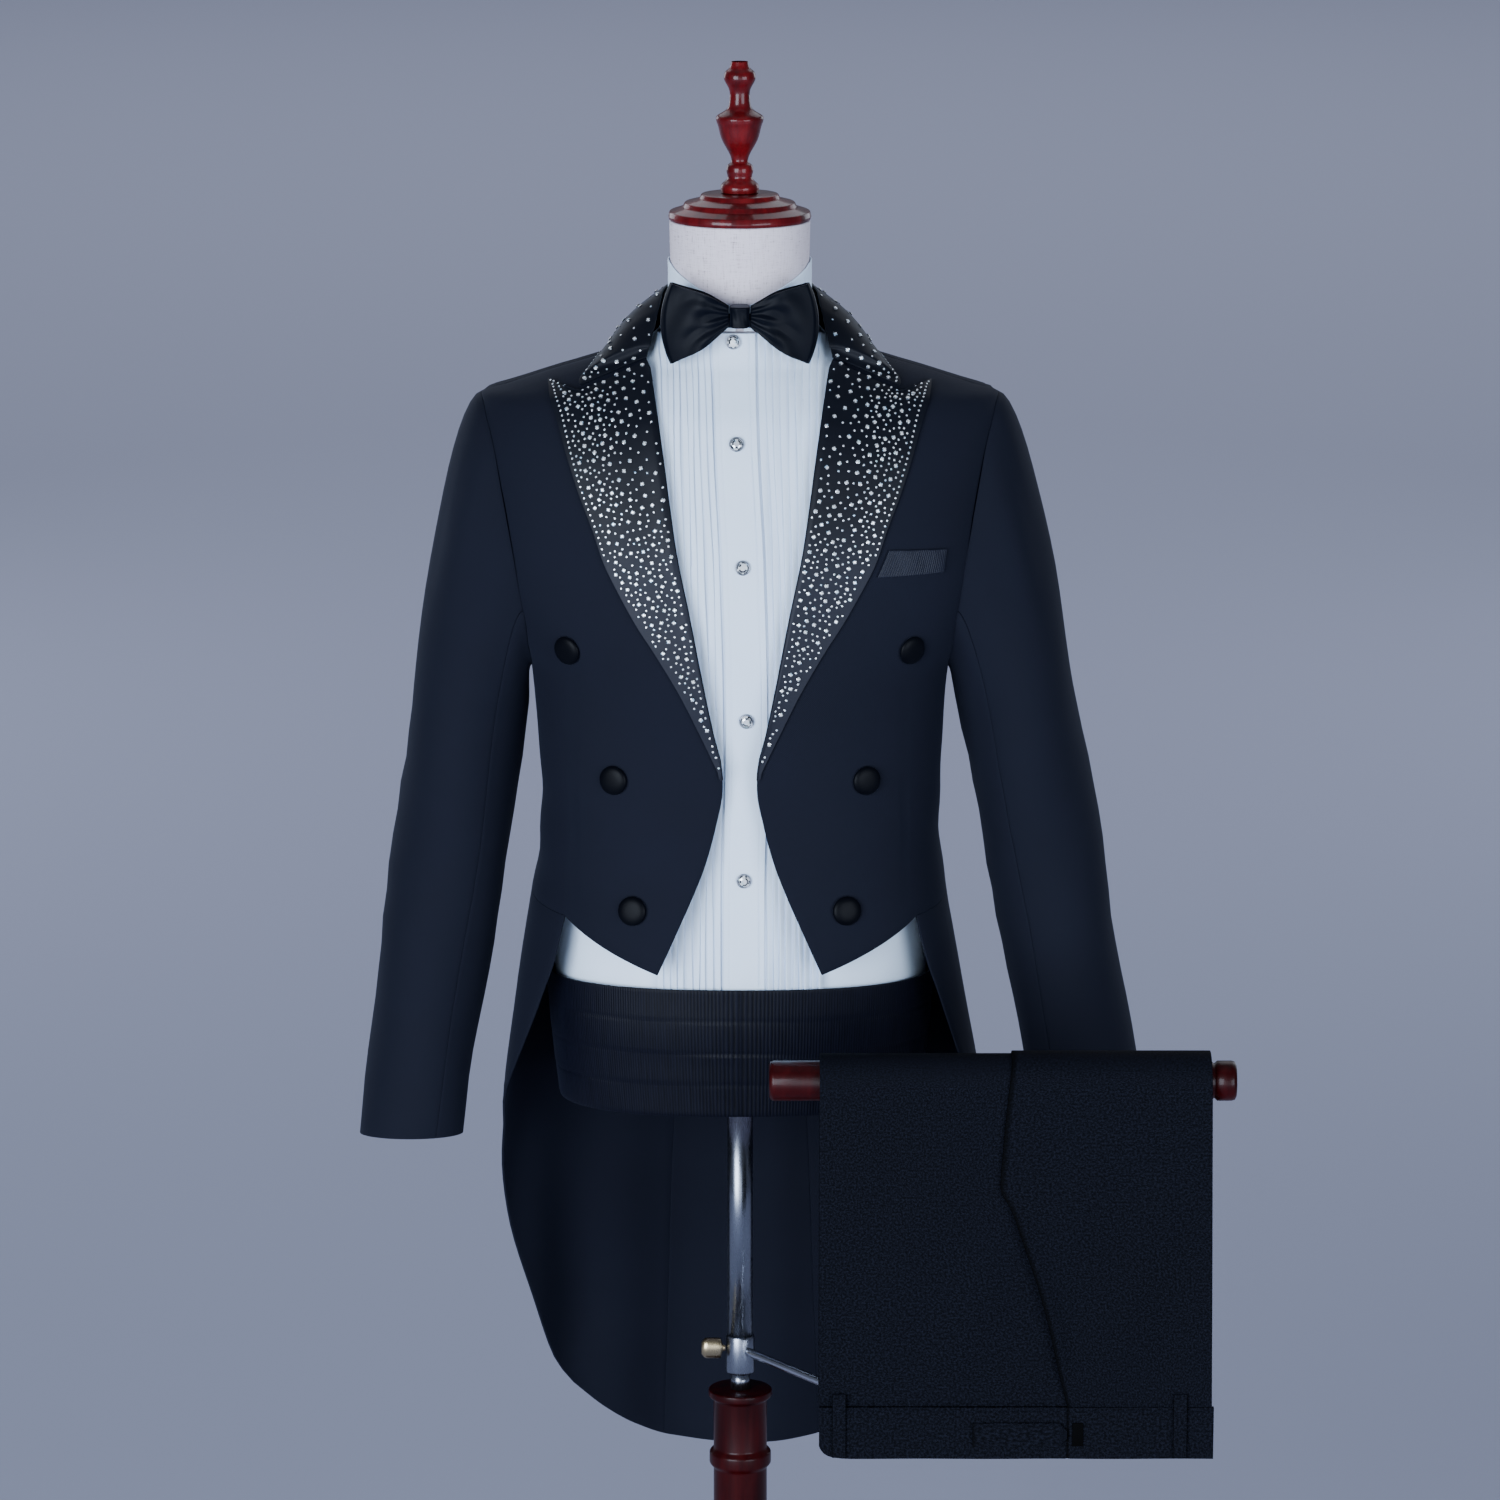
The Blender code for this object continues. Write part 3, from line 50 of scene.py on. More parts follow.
LAPEL_OUT = 0.0027
COLLAR_OUT = 0.0036
BUTTON_RADIUS, BUTTON_RISE = 0.0125, 0.0050
STUD_RADIUS, STUD_RISE = 0.0062, 0.0040
ARMHOLE_CENTRE = 1.3025
ARMHOLE_RADIUS = 0.1155
RING_STEPS = 24
SLEEVE_SEAM = 120
SIDE_SEAM_RING = 150
SIDE_SEAM_TURN = 88
WAIST_HEIGHT = 0.988
WAIST_CORNER = 0.1485
FRONT_POINT_HEIGHT = 0.948
FRONT_BREAK_HEIGHT = 1.112
FRONT_TOP_HEIGHT = 1.457
SIDE_PANEL_TOP = 1.190
SIDE_PANEL_CORNER = 1.2025
DART_REACH = 0.1385
DART_TOP = 1.195
NECK_HEIGHT = 1.4622
BACK_SEAM_TURN = 167
CAP_LEAVE = 0.29
CAP_ARRIVE = 0.95
LAPEL_COLUMNS, LAPEL_ROWS = 40, 90
LAPEL_LOW, LAPEL_OUTER_LOW = 1.113, 1.1145
COLLAR_COLUMNS, COLLAR_ROWS = 160, 24
COLLAR_LAID_TOP = 1.4600
COLLAR_STAND_TOP = 1.4985
TAIL_SEAM_TURN = 163
TAIL_ROWS = 8
COLLAR_BULGE = 0.005
CUFF_HEIGHT = 0.780
PLEATS = 9
PLEAT_WIDTH = 0.0056
PLEAT_START = 0.0190
PLEAT_RISE = 0.0015
PLACKET_HALF = 0.0172
PLACKET_BOTTOM = 0.8360
PLACKET_SEAM = 0.71
PLACKET_CLOTH = 0.0013
BAND_LEVELS = (1.4810, 1.4930)
SHIRT_COLLAR_LOW = 1.4775
SHIRT_SHOULDER = 0.176
SHIRT_ARMHOLE_RADIUS = 0.1095
PLACKET_OUT = 0.0022
SHIRT_LEVELS = (0.832, 1.000, 1.140, 1.195, 1.250)
SHIRT_TOP_STEPS = (0.760, 0.574, 0.375, 0.221, 0.115, 0.042, 0.0)
SHIRT_NECKLINE = ((0.0, 1.4765), (0.040, 1.4762), (0.056, 1.4735), (0.063, 1.4700), (0.071, 1.4640))
BACK_NECK_REACH = 0.0700
BACK_NECK_LOW, BACK_NECK_TOP = 1.4690, 1.4755
BOW_HEIGHT = 1.4925
BOW_CLOTH = 0.0012
KNOT_Y, KNOT_HALVES = -0.0721, (0.0086, 0.0121, 0.0088)
SASH_PLEATS = 4
SASH_TOP, SASH_LOW = 0.9295, 0.8180
SASH_DROOP = 0.010
SASH_PLEAT_GAP = 0.0007
FORM_BOTTOM = 0.824
FORM_TOP = 1.563
FORM_SHOWN_LOW, FORM_SHOWN_HIGH = 0.900, 1.482
FORM_INSET = 0.0028
ROD_RADIUS = 0.0164
ROD_CENTRE = (0.214, -0.280, 0.8964)
ROD_LENGTH = 0.380
ARM_HEIGHT = 0.577
ARM_RADIUS = 0.0038
KNOB_START, KNOB_LENGTH = 0.0129, 0.0206
TROUSER_LEFT = 0.0650
TROUSER_RIGHT = 0.3830
TROUSER_BOTTOM = 0.5815
BAND_TOP = 0.6255
SLEEVE_ROWS = 4
TROUSER_SPREAD = 0.0090
BAND_LAP = 0.2690
LEFT_LEAF_LEVEL, RIGHT_LEAF_LEVEL = 0.0206, 0.0228
LEFT_LEAF_HEM, RIGHT_LEAF_HEM = 0.606, 0.600
FOLDED_FRONT_HEM, FOLDED_REAR_HEM = 0.602, 0.612
LOOP_PLACES, LOOP_HALF = (0.0815, 0.3610), 0.0057
LOOP_HEIGHTS = (0.5830, 0.6375)
SMALL_CLOTH = 0.0018
TAB_LEFT, TAB_SHOULDER, TAB_RIGHT = 0.1909, 0.2620, 0.2684
TAB_LOW, TAB_HIGH = 0.5926, 0.6128
KEEPER_PLACE, KEEPER_SIZE = (0.2772, 0.6026), (0.0090, 0.0020, 0.0200)
PLEAT_SHAPE = (
    # share of the pleat's width, share of its rise
    (0.0, 0.0), (0.03, 0.75), (0.07, 1.0), (0.15, 1.03), (0.35, 0.88), (0.60, 0.58), (0.82, 0.25),
    (0.94, 0.0),
)
BAND_CORNER = (
    # share of the band's width, lift of its lower edge
    (0.0, 0.0110), (0.004, 0.0078), (0.012, 0.0045), (0.022, 0.0025), (0.035, 0.0012), (0.055, 0.0004),
    (0.08, 0.0), (1.0, 0.0),
)
CAMERA_PLACE = (0.0085, -5.116, 2.244)
CAMERA_PITCH = 12.5
CAMERA_LENS = 147.9
SENSOR_WIDTH = 36.0
FLOOR_SIZE = 60.0

# Body sections of the coat, outer face
COAT_SECTIONS = (
    # height, half_width, front, back, squareness
    (0.438, 0.200, 0.100, 0.158, 2.3),
    (0.600, 0.206, 0.130, 0.158, 2.3),
    (0.700, 0.210, 0.140, 0.156, 2.3),
    (0.800, 0.206, 0.145, 0.150, 2.3),
    (0.900, 0.192, 0.146, 0.141, 2.4),
    (0.950, 0.184, 0.145, 0.133, 2.4),
    (0.990, 0.177, 0.142, 0.126, 2.4),
    (1.030, 0.171, 0.136, 0.119, 2.5),
    (1.070, 0.169, 0.131, 0.114, 2.5),
    (1.120, 0.171, 0.130, 0.113, 2.5),
    (1.187, 0.176, 0.133, 0.118, 2.5),
    (1.220, 0.190, 0.133, 0.121, 2.5),
    (1.270, 0.206, 0.130, 0.124, 2.5),
    (1.320, 0.216, 0.122, 0.124, 2.5),
    (1.370, 0.221, 0.109, 0.120, 2.5),
    (1.400, 0.2215, 0.096, 0.112, 2.4),
    (1.418, 0.217, 0.084, 0.104, 2.3),
    (1.4265, 0.192, 0.077, 0.099, 2.3),
    (1.438, 0.157, 0.068, 0.092, 2.2),
    (1.448, 0.124, 0.062, 0.086, 2.1),
    (1.4575, 0.100, 0.061, 0.083, 2.0),
    (1.4625, 0.089, 0.061, 0.081, 2.0),
    (1.475, 0.080, 0.062, 0.078, 2.0),
)

# Body sections of the dress form
FORM_SECTIONS = (
    # height, half_width, front, back, squareness
    (0.800, 0.1430, 0.097, 0.099, 2.4),
    (0.860, 0.1505, 0.104, 0.106, 2.4),
    (0.900, 0.1540, 0.108, 0.110, 2.4),
    (0.950, 0.1555, 0.108, 0.109, 2.4),
    (1.000, 0.1545, 0.1085, 0.106, 2.5),
    (1.060, 0.1530, 0.1100, 0.102, 2.5),
    (1.120, 0.1560, 0.1115, 0.102, 2.5),
    (1.187, 0.1640, 0.116, 0.107, 2.5),
    (1.250, 0.1760, 0.117, 0.112, 2.5),
    (1.310, 0.1880, 0.110, 0.114, 2.5),
    (1.360, 0.1950, 0.099, 0.111, 2.5),
    (1.390, 0.1950, 0.089, 0.105, 2.4),
    (1.405, 0.1880, 0.083, 0.100, 2.3),
    (1.416, 0.1700, 0.076, 0.093, 2.3),
    (1.425, 0.1480, 0.070, 0.088, 2.2),
    (1.435, 0.1220, 0.064, 0.083, 2.1),
    (1.445, 0.0980, 0.058, 0.079, 2.0),
    (1.455, 0.0800, 0.055, 0.071, 2.0),
    (1.470, 0.0670, 0.053, 0.065, 2.0),
    (1.490, 0.0600, 0.0545, 0.061, 2.0),
    (1.510, 0.0580, 0.0560, 0.059, 2.0),
    (1.570, 0.0590, 0.058, 0.058, 2.0),
)

# Armhole of the coat, by the angle round its ring from the shoulder point
ARMHOLE_TURNS = (
    # ring, front_turn, back_turn
    (0, 90.0, 90.0), (15, 78.0, 103.0), (30, 71.0, 110.0), (60, 63.0, 116.5), (90, 60.5, 118.0),
    (120, 62.7, 113.5), (150, 74.0, 103.0), (165, 82.0, 96.5), (180, 90.0, 90.0),
)

# Front edge of the coat with the roll line above it
FRONT_EDGE = (
    # height, reach from the middle
    (0.9480, 0.0687), (0.9820, 0.0535), (1.0150, 0.0390), (1.0400, 0.0290), (1.0725, 0.0200),
    (1.1050, 0.0142), (1.1200, 0.0144), (1.1517, 0.0215), (1.1990, 0.0310), (1.2503, 0.0410),
    (1.3035, 0.0520), (1.3628, 0.0605), (1.3940, 0.0650), (1.4246, 0.0700), (1.4500, 0.0752),
    (1.4570, 0.0800),
)

# Outer edge of the lapel
LAPEL_EDGE = (
    # height, reach from the middle
    (1.1130, 0.0150), (1.1480, 0.0310), (1.1860, 0.0495), (1.2230, 0.0715), (1.2426, 0.0845),
    (1.2710, 0.1005), (1.2940, 0.1120), (1.3190, 0.1205), (1.3470, 0.1315), (1.3820, 0.1435),
    (1.4000, 0.1490), (1.4140, 0.1540), (1.4227, 0.1575), (1.4325, 0.1590),
)
GORGE_INNER = (0.0757, 1.4500)
NOTCH = (0.1325, 1.4262)
LAPEL_TIP = (0.1590, 1.4325)

# Collar, from the gorge round to the middle of the back
COLLAR_SECTIONS = (
    # along, fold_x, fold_y, fold_z, edge_turn, edge_height
    (0.00, 0.0765, -0.0490, 1.4530, 41.5, 1.4278),
    (0.20, 0.0725, -0.0360, 1.4720, 59.4, 1.4420),
    (0.35, 0.0675, -0.0200, 1.4930, 78.0, 1.4500),
    (0.50, 0.0645, 0.0000, 1.5045, 90.0, 1.4530),
    (0.75, 0.0505, 0.0475, 1.5080, 135.0, 1.4480),
    (1.00, 0.0000, 0.0715, 1.5095, 180.0, 1.4440),
)

# Front edge of the tail skirt and its rounded lower outline
SKIRT_EDGE = (
    # height, turn
    (0.5055, 136.6), (0.5370, 128.0), (0.5700, 121.2), (0.6120, 115.4), (0.6580, 110.3), (0.7127, 105.0),
    (0.7614, 97.0), (0.8020, 84.0), (0.8370, 73.5), (0.8930, 63.5), (0.9216, 59.5), (0.9505, 55.8),
    (0.9880, 53.8),
)
TAIL_HEM = (
    # turn, height
    (136.6, 0.5055), (145.0, 0.4820), (155.0, 0.4610), (165.0, 0.4455), (174.0, 0.4400), (180.0, 0.4390),
)
BACK_SEAM = (
    # height, turn
    (0.446, 163.0), (0.700, 166.0), (0.900, 168.0), (1.000, 167.0), (1.050, 163.0), (1.090, 157.0),
    (1.130, 147.0), (1.165, 133.0), (1.190, 116.0), (1.2025, 103.0),
)

# Hanging sleeves, side by side
SLEEVE_SECTIONS = {
    # height, centre_x, centre_y, half_width, half_depth
    "left": (
        (0.780, 0.2818, -0.026, 0.0443, 0.0445),
        (0.845, 0.2740, -0.014, 0.0450, 0.0500),
        (0.941, 0.2598, 0.000, 0.0483, 0.0570),
        (1.040, 0.2445, 0.006, 0.0500, 0.0620),
        (1.150, 0.2297, 0.004, 0.0495, 0.0680),
    ),
    "right": (
        (0.780, 0.3010, -0.026, 0.0460, 0.0445),
        (0.845, 0.2909, -0.014, 0.0484, 0.0500),
        (0.941, 0.2738, 0.000, 0.0488, 0.0570),
        (1.040, 0.2567, 0.006, 0.0512, 0.0620),
        (1.150, 0.2358, 0.004, 0.0513, 0.0680),
    ),
}

BUTTONS = (
    # reach, height
    (0.1430, 1.2170), (0.1050, 1.1090), (0.0888, 1.0010),
)
SHIRT_COLLAR_TOPS = (
    # turn, height
    (0, 1.4965), (14, 1.5020), (27, 1.5085), (48, 1.5180), (66, 1.5250), (78, 1.5290), (95, 1.5310),
    (180, 1.5310),
)
PLACKET_DRIFT = (
    # height, how far the shirt's middle has slipped towards +X
    (1.0236, 0.0034), (1.1615, 0.0056), (1.2890, 0.0025), (1.3870, -0.0026), (1.4690, -0.0050),
)
STUDS = (
    # height, gap to the placket
    (1.4690, 0.0007), (1.3870, 0.0006), (1.2890, 0.0003), (1.1615, 0.0004), (1.0236, 0.0005),
)
WELT_CORNERS = ((0.1225, 1.3035), (0.1700, 1.3010), (0.1670, 1.2820), (0.1130, 1.2815))

# Curve where the right trouser half laps over the left one
TROUSER_SEAM = (
    # height, x
    (0.6260, 0.2684), (0.6580, 0.2605), (0.6937, 0.2528), (0.7287, 0.2433), (0.7670, 0.2306),
    (0.7940, 0.2212), (0.8130, 0.2118), (0.8456, 0.2138), (0.8865, 0.2175), (0.9200, 0.2212),
)

# Turned profiles as shares of a radius and a rise, bottom to top
BUTTON_PROFILE = (
    (0.0, 0.0), (0.90, 0.0), (0.985, 0.10), (1.0, 0.26), (0.985, 0.42), (0.93, 0.60), (0.80, 0.78), (0.60, 0.91),
    (0.36, 0.98), (0.0, 1.0),
)
STUD_PROFILE = (
    (0.0, 0.0), (0.94, 0.0), (1.0, 0.10), (1.0, 0.34), (0.93, 0.46), (0.84, 0.42), (0.80, 0.20), (0.0, 0.16),
)

# Turned profiles as radius and height, bottom to top
BASE_PROFILE = ((0.0, 0.0), (0.186, 0.0), (0.190, 0.004), (0.190, 0.022), (0.184, 0.028), (0.0, 0.028))
POST_PROFILE = (
    (0.0, 0.0283), (0.040, 0.0283), (0.040, 0.040), (0.030, 0.052), (0.0235, 0.070), (0.0232, 0.470),
    (0.0268, 0.474), (0.0268, 0.484), (0.0232, 0.488), (0.0232, 0.532), (0.0275, 0.535), (0.0275, 0.541),
    (0.0, 0.541),
)
LOWER_ROD_PROFILE = ((0.0, 0.5413), (0.0083, 0.5413), (0.0083, 0.5560), (0.0, 0.5560))
CLAMP_PROFILE = ((0.0, 0.5563), (0.0118, 0.5563), (0.0125, 0.558), (0.0125, 0.588), (0.0118, 0.590), (0.0, 0.590))
POLE_PROFILE = ((0.0, 0.5903), (0.011, 0.5903), (0.011, 0.8235), (0.0, 0.8235))
CAP_PROFILE = (
    (0.0, 1.5633), (0.0588, 1.5633), (0.0598, 1.566), (0.0588, 1.5705), (0.048, 1.574), (0.046, 1.578),
    (0.034, 1.581), (0.032, 1.585), (0.0, 1.586),
)
FINIAL_PROFILE = (
    (0.0, 1.5863), (0.0155, 1.5863), (0.0158, 1.592), (0.0105, 1.598), (0.0112, 1.604), (0.0105, 1.6085),
    (0.0072, 1.612), (0.0085, 1.618), (0.0150, 1.630), (0.0180, 1.641), (0.0196, 1.646), (0.0190, 1.650),
    (0.0105, 1.656), (0.0085, 1.665), (0.0090, 1.672), (0.0130, 1.680), (0.0125, 1.686), (0.0085, 1.690),
    (0.0070, 1.695), (0.0, 1.698),
)


# Curves, sections and surfaces

def smooth(table, column=1):
    """Smooth curve through one column of a table, against its rising first column"""
    xs = np.array([row[0] for row in table], float)
    ys = np.array([row[column] for row in table], float)
    step = np.diff(xs)
    slope = np.diff(ys) / step
    lean = np.concatenate(([slope[0]], np.zeros(len(xs) - 2), [slope[-1]]))
    for i in range(1, len(xs) - 1):
        before, after = slope[i - 1], slope[i]
        if before * after > 0:
            lean[i] = 2 * before * after / (before + after)

    def at(x):
        x = np.clip(x, xs[0], xs[-1])
        i = np.clip(np.searchsorted(xs, x) - 1, 0, len(xs) - 2)
        width = step[i]
        t = (x - xs[i]) / width
        start = ys[i] * (1 + 2 * t) * (1 - t) ** 2 + lean[i] * width * t * (1 - t) ** 2
        end = ys[i + 1] * t * t * (3 - 2 * t) + lean[i + 1] * width * t * t * (t - 1)
        return start + end

    return at


def body_surface(sections):
    """Function giving the points of a body at turns and heights, moved out along its normal"""
    half_width, front, back, squareness = (smooth(sections, column) for column in (1, 2, 3, 4))

    def raw(turn, height):
        power = 2 / squareness(height)
        angle = np.radians(turn)
        side = np.sign(np.sin(angle)) * np.abs(np.sin(angle)) ** power
        ahead = np.sign(np.cos(angle)) * np.abs(np.cos(angle)) ** power
        depth = np.where(np.cos(angle) > 0, front(height), back(height))
        return np.stack(np.broadcast_arrays(half_width(height) * side, -depth * ahead, height), axis=-1)

    def point(turn, height, out=0.0):
        turn, height = np.asarray(turn, float), np.asarray(height, float)
        across = raw(turn + 1.0, height) - raw(turn - 1.0, height)
        up = raw(turn, height + 0.0008) - raw(turn, height - 0.0008)
        normal = np.cross(across, up)
        normal /= np.linalg.norm(normal, axis=-1, keepdims=True)
        return raw(turn, height) + normal * np.asarray(out)[..., None]

    point.half_width, point.squareness = half_width, squareness
    return point


coat = body_surface(COAT_SECTIONS)
torso = body_surface(FORM_SECTIONS)


def turn_of(surface, reach, height):
    """Turn at which the front of a body reaches this far from its middle"""
    ratio = np.clip(reach / surface.half_width(height), 0.0, 1.0)
    return np.degrees(np.arcsin(ratio ** (surface.squareness(height) / 2)))


def between(start, end, steps):
    return np.linspace(start, end, steps + 1)


def above(value, start, over):
    """0 up to a start, then rising to 1 over a distance"""
    return np.clip((value - start) / over, 0, 1)


def under(value, end, over):
    """1 well under an end, falling to 0 over the last distance before it"""
    return np.clip((end - value) / over, 0, 1)


def hump(value, middle, width):
    """1 at the middle, fading to both sides"""
    return np.exp(-((value - middle) / width) ** 2)


def eased(share):
    """Share from 0 to 1 with a slow start and a slow end"""
    return share * share * (3 - 2 * share)


def spread(points, axis):
    """Lengths of a grid's lines along one of its axes"""
    return np.linalg.norm(np.diff(points, axis=axis), axis=2).sum(axis=axis)


def stacked(lines):
    """Turns and heights of a list of lines, as two grids"""
    return (np.array([line[part] for line in lines]) for part in (0, 1))


def patch(bottom, top, left, right, fade=5):
    """Grid of (turn, height) pairs between two side edges, bent near its ends to meet the other two"""
    bottom, top, left, right = (np.array(edge, float) for edge in (bottom, top, left, right))
    u = np.linspace(0, 1, len(bottom))[:, None, None]
    v = np.linspace(0, 1, len(left))[None, :, None]
    ruled = (1 - u) * left[None] + u * right[None]
    low_bend = bottom[:, None] - (1 - u) * bottom[0] - u * bottom[-1]
    high_bend = top[:, None] - (1 - u) * top[0] - u * top[-1]
    return ruled + (1 - v) ** fade * low_bend + v ** fade * high_bend


def grid_normals(grid):
    """Normals of a grid of points, facing along columns x rows"""
    normal = np.cross(np.gradient(grid, axis=0), np.gradient(grid, axis=1))
    return normal / np.maximum(np.linalg.norm(normal, axis=-1, keepdims=True), 1e-9)


# Fineness of the shown cloth against the solids, rounding of its edges, and the stones' sizes and spacings
FINE = 4
RIM = 0.0005
MERGE = 0.00001
LARGE_STONE, SMALL_STONE = 0.0023, 0.00125
LARGE_THROWS, SMALL_THROWS = 1100, 9000
LARGE_APART, LARGE_FROM_SMALL, SMALL_FROM_LARGE, SMALL_APART = 0.0068, 0.0048, 0.0041, 0.0040
EDGE_STONE_SPACING = 0.0050
LAPEL_STONE_INSET, COLLAR_STONE_INSET = 0.0032, 0.0034
STONE_MARGIN = 0.0010
STONE_END_MARGIN = 0.0026

# Flat cut of each cloth piece as width, length and area, the same for both sides where none is named
FLAT = {
    "shirt_front": (0.253, 0.684, 0.14674),
    "bow_wing": (0.129, 0.07, 0.00597),
    "coat_front": (0.238, 0.596, 0.09279),
    "coat_side": (0.204, 0.269, 0.03055),
    "coat_back": (0.27, 1.03, 0.11672),
    "coat_skirt": (0.303, 0.558, 0.10938),
    "coat_top_sleeve": (0.425, 0.655, 0.13723),
    "coat_under_sleeve": (0.19, 0.482, 0.05065),
    "coat_lapel": (0.102, 0.385, 0.01839),
    "shirt_back": (0.46, 0.698, 0.27384),
    "shirt_placket": (0.038, 0.655, 0.02286),
    "shirt_collar": (0.389, 0.053, 0.01727),
    "bow_band": (0.405, 0.0121, 0.00469),
    "sash": (0.928, 0.114, 0.10266),
    "coat_collar": (0.464, 0.074, 0.02731),
    "coat_collar_stand": (0.277, 0.041, 0.00981),
    "coat_breast_welt": (0.061, 0.0247, 0.00121),
    "trouser_half_left": (0.221, 0.641, 0.11372),
    "trouser_half_right": (0.173, 0.654, 0.10129),
    "trouser_waistband": (0.328, 0.044, 0.01429),
    "trouser_loop": (0.0114, 0.054, 0.00059),
    "trouser_tab": (0.081, 0.0204, 0.00154),
}


# Shader maths

class Socket:
    """One output of a material's node tree; arithmetic on it adds Math nodes"""

    def __init__(self, tree, output):
        self.tree, self.output = tree, output

    def math(self, operation, other=None, swapped=False):
        values = [self] if other is None else [other, self] if swapped else [self, other]
        return self.tree.node("ShaderNodeMath", {"operation": operation}, dict(enumerate(values)))

    def __add__(self, other):
        return self.math("ADD", other)

    def __mul__(self, other):
        return self.math("MULTIPLY", other)

    def __rsub__(self, other):
        return self.math("SUBTRACT", other, swapped=True)

    __radd__, __rmul__ = __add__, __mul__

    def sine(self):
        return self.math("SINE")

    def step(self, low, high):
        """0 below low, 1 above high and smooth between"""
        settings = {"interpolation_type": "SMOOTHSTEP"}
        return self.tree.node("ShaderNodeMapRange", settings, {"Value": self, "From Min": low, "From Max": high})


class Finish:
    """A material built on one Principled shader"""

    def __init__(self, name, **sockets):
        self.material = bpy.data.materials.new(name)
        self.material.use_nodes = True
        self.nodes, self.links = self.material.node_tree.nodes, self.material.node_tree.links
        self.shader = self.nodes["Principled BSDF"]
        for socket, value in sockets.items():
            self.shader.inputs[socket.replace("_", " ")].default_value = value

    def node(self, kind, settings=None, values=None, output=0):
        made = self.nodes.new(kind)
        for key, value in (settings or {}).items():
            if key == "stops":
                for count, (place, colour) in enumerate(value):
                    stops = made.color_ramp.elements
                    stop = stops[count] if count < len(stops) else stops.new(place)
                    stop.position, stop.color = place, (*colour, 1.0)
            else:
                setattr(made, key, value)
        for key, value in (values or {}).items():
            if isinstance(value, Socket):
                self.links.new(value.output, made.inputs[key])
            else:
                made.inputs[key].default_value = value
        return Socket(self, made.outputs[output])

    def place(self, kind="Object", scale=(1.0, 1.0, 1.0)):
        """Object or UV coordinates, scaled"""
        place = self.node("ShaderNodeTexCoord", output=kind)
        return self.node("ShaderNodeMapping", None, {"Vector": place, "Scale": scale})

    def axis(self, place, name):
        return self.node("ShaderNodeSeparateXYZ", None, {"Vector": place}, output=name)

    def noise(self, place, scale, detail=3.0, rough=0.55):
        values = {"Vector": place, "Scale": scale, "Detail": detail, "Roughness": rough}
        return self.node("ShaderNodeTexNoise", None, values)

    def ramp(self, value, *stops):
        return self.node("ShaderNodeValToRGB", {"stops": stops}, {"Fac": value})

    def mix(self, share, first, second):
        return self.node("ShaderNodeMix", {"data_type": "RGBA"}, {"Factor": share, "A": first, "B": second}, "Result")

    def tones(self, share, dark, light):
        return self.mix(share, (*dark, 1.0), (*light, 1.0))

    def painted_shade_and_black(self):
        """Painted shade along folds, laps and edges, and the keeper's near-black, as stored on each mesh"""
        return self.node("ShaderNodeAttribute", {"attribute_name": "painted_shade_and_black"}, output="Fac")

    def feed(self, socket, value):
        self.links.new(value.output, self.shader.inputs[socket])

    def bump(self, height, depth, strength=1.0):
        made = self.node("ShaderNodeBump", None, {"Height": height, "Distance": depth, "Strength": strength})
        self.feed("Normal", made)


def worsted(name, dark, light, sheen, pitch=0.0015, mottle=0.0, gloss=0.10):
    """Matt wool twill, in the cloth's own directions, mottled where mottle gives how fine, and mixed to black by
    painted shade along laps and edges and for the keeper's near-black
    """
    made = Finish(name, Sheen_Weight=sheen, Sheen_Roughness=0.5, Sheen_Tint=(0.42, 0.52, 0.85, 1.0),
                  Specular_IOR_Level=gloss)
    grain = made.place("UV")
    twill = ((made.axis(grain, "X") + made.axis(grain, "Y")) * (math.tau / pitch)).sine()
    threads = made.noise(made.place("UV", (1.0, 0.35, 1.0)), 1900.0, 2.0)
    wide = made.noise(made.place(), 9.0, 4.0)
    share = threads * 0.6 + wide * 0.5
    if mottle:
        share = made.noise(grain, mottle, 4.0, 0.7).step(0.40, 0.66) * 0.85 + wide * 0.15
    # Painted shade: the stored value mixes the wool to black
    made.feed("Base Color", made.mix(made.painted_shade_and_black(), made.tones(share, dark, light), (0.0, 0.0, 0.0, 1.0)))
    made.feed("Roughness", wide * 0.12 + 0.74)
    made.bump(twill * 0.35 + threads, 0.00022, 0.5)
    return made.material


def silk(name, dark, light, roughness, ribs=0.0, gloss=0.45, painted_sheen_tone=None):
    """Satin with a soft shine, ribbed where ribs gives their pitch, with a painted sheen that makes it paler lower
    down in the tone given for it
    """
    made = Finish(name, Sheen_Weight=0.05, Sheen_Roughness=0.35, Sheen_Tint=(0.5, 0.6, 0.95, 1.0),
                  Specular_IOR_Level=gloss)
    streaks = made.noise(made.place("UV", (0.06, 1.0, 1.0)), 900.0, 3.0)
    wide = made.noise(made.place(), 24.0, 3.0)
    tone = made.tones(streaks * 0.5 + wide * 0.4, dark, light)
    # Painted sheen: below about 1.29 to 1.35 m the satin is mixed towards a paler tone
    if painted_sheen_tone:
        low = 1 - (made.axis(made.place(), "Z") + wide * 0.02).step(1.285, 1.350)
        tone = made.mix(low * (streaks * 0.5 + 0.6), tone, (*painted_sheen_tone, 1.0))
    made.feed("Base Color", tone)
    made.feed("Roughness", streaks * 0.14 + wide * 0.10 + (roughness - 0.12))
    height = streaks * 0.5 + wide * 0.3
    if ribs:
        along = made.axis(made.place("UV"), "X")
        uneven = made.noise(made.place("UV", (1.0, 0.08, 1.0)), 420.0, 2.0)
        rib = (along * (math.tau / ribs) + uneven * 2.5).sine()
        height = rib * 0.7 + height
        made.feed("Base Color", made.tones(rib * 0.28 + uneven * 0.75, dark, light))
    made.bump(height, 0.00030, 0.45)
    return made.material


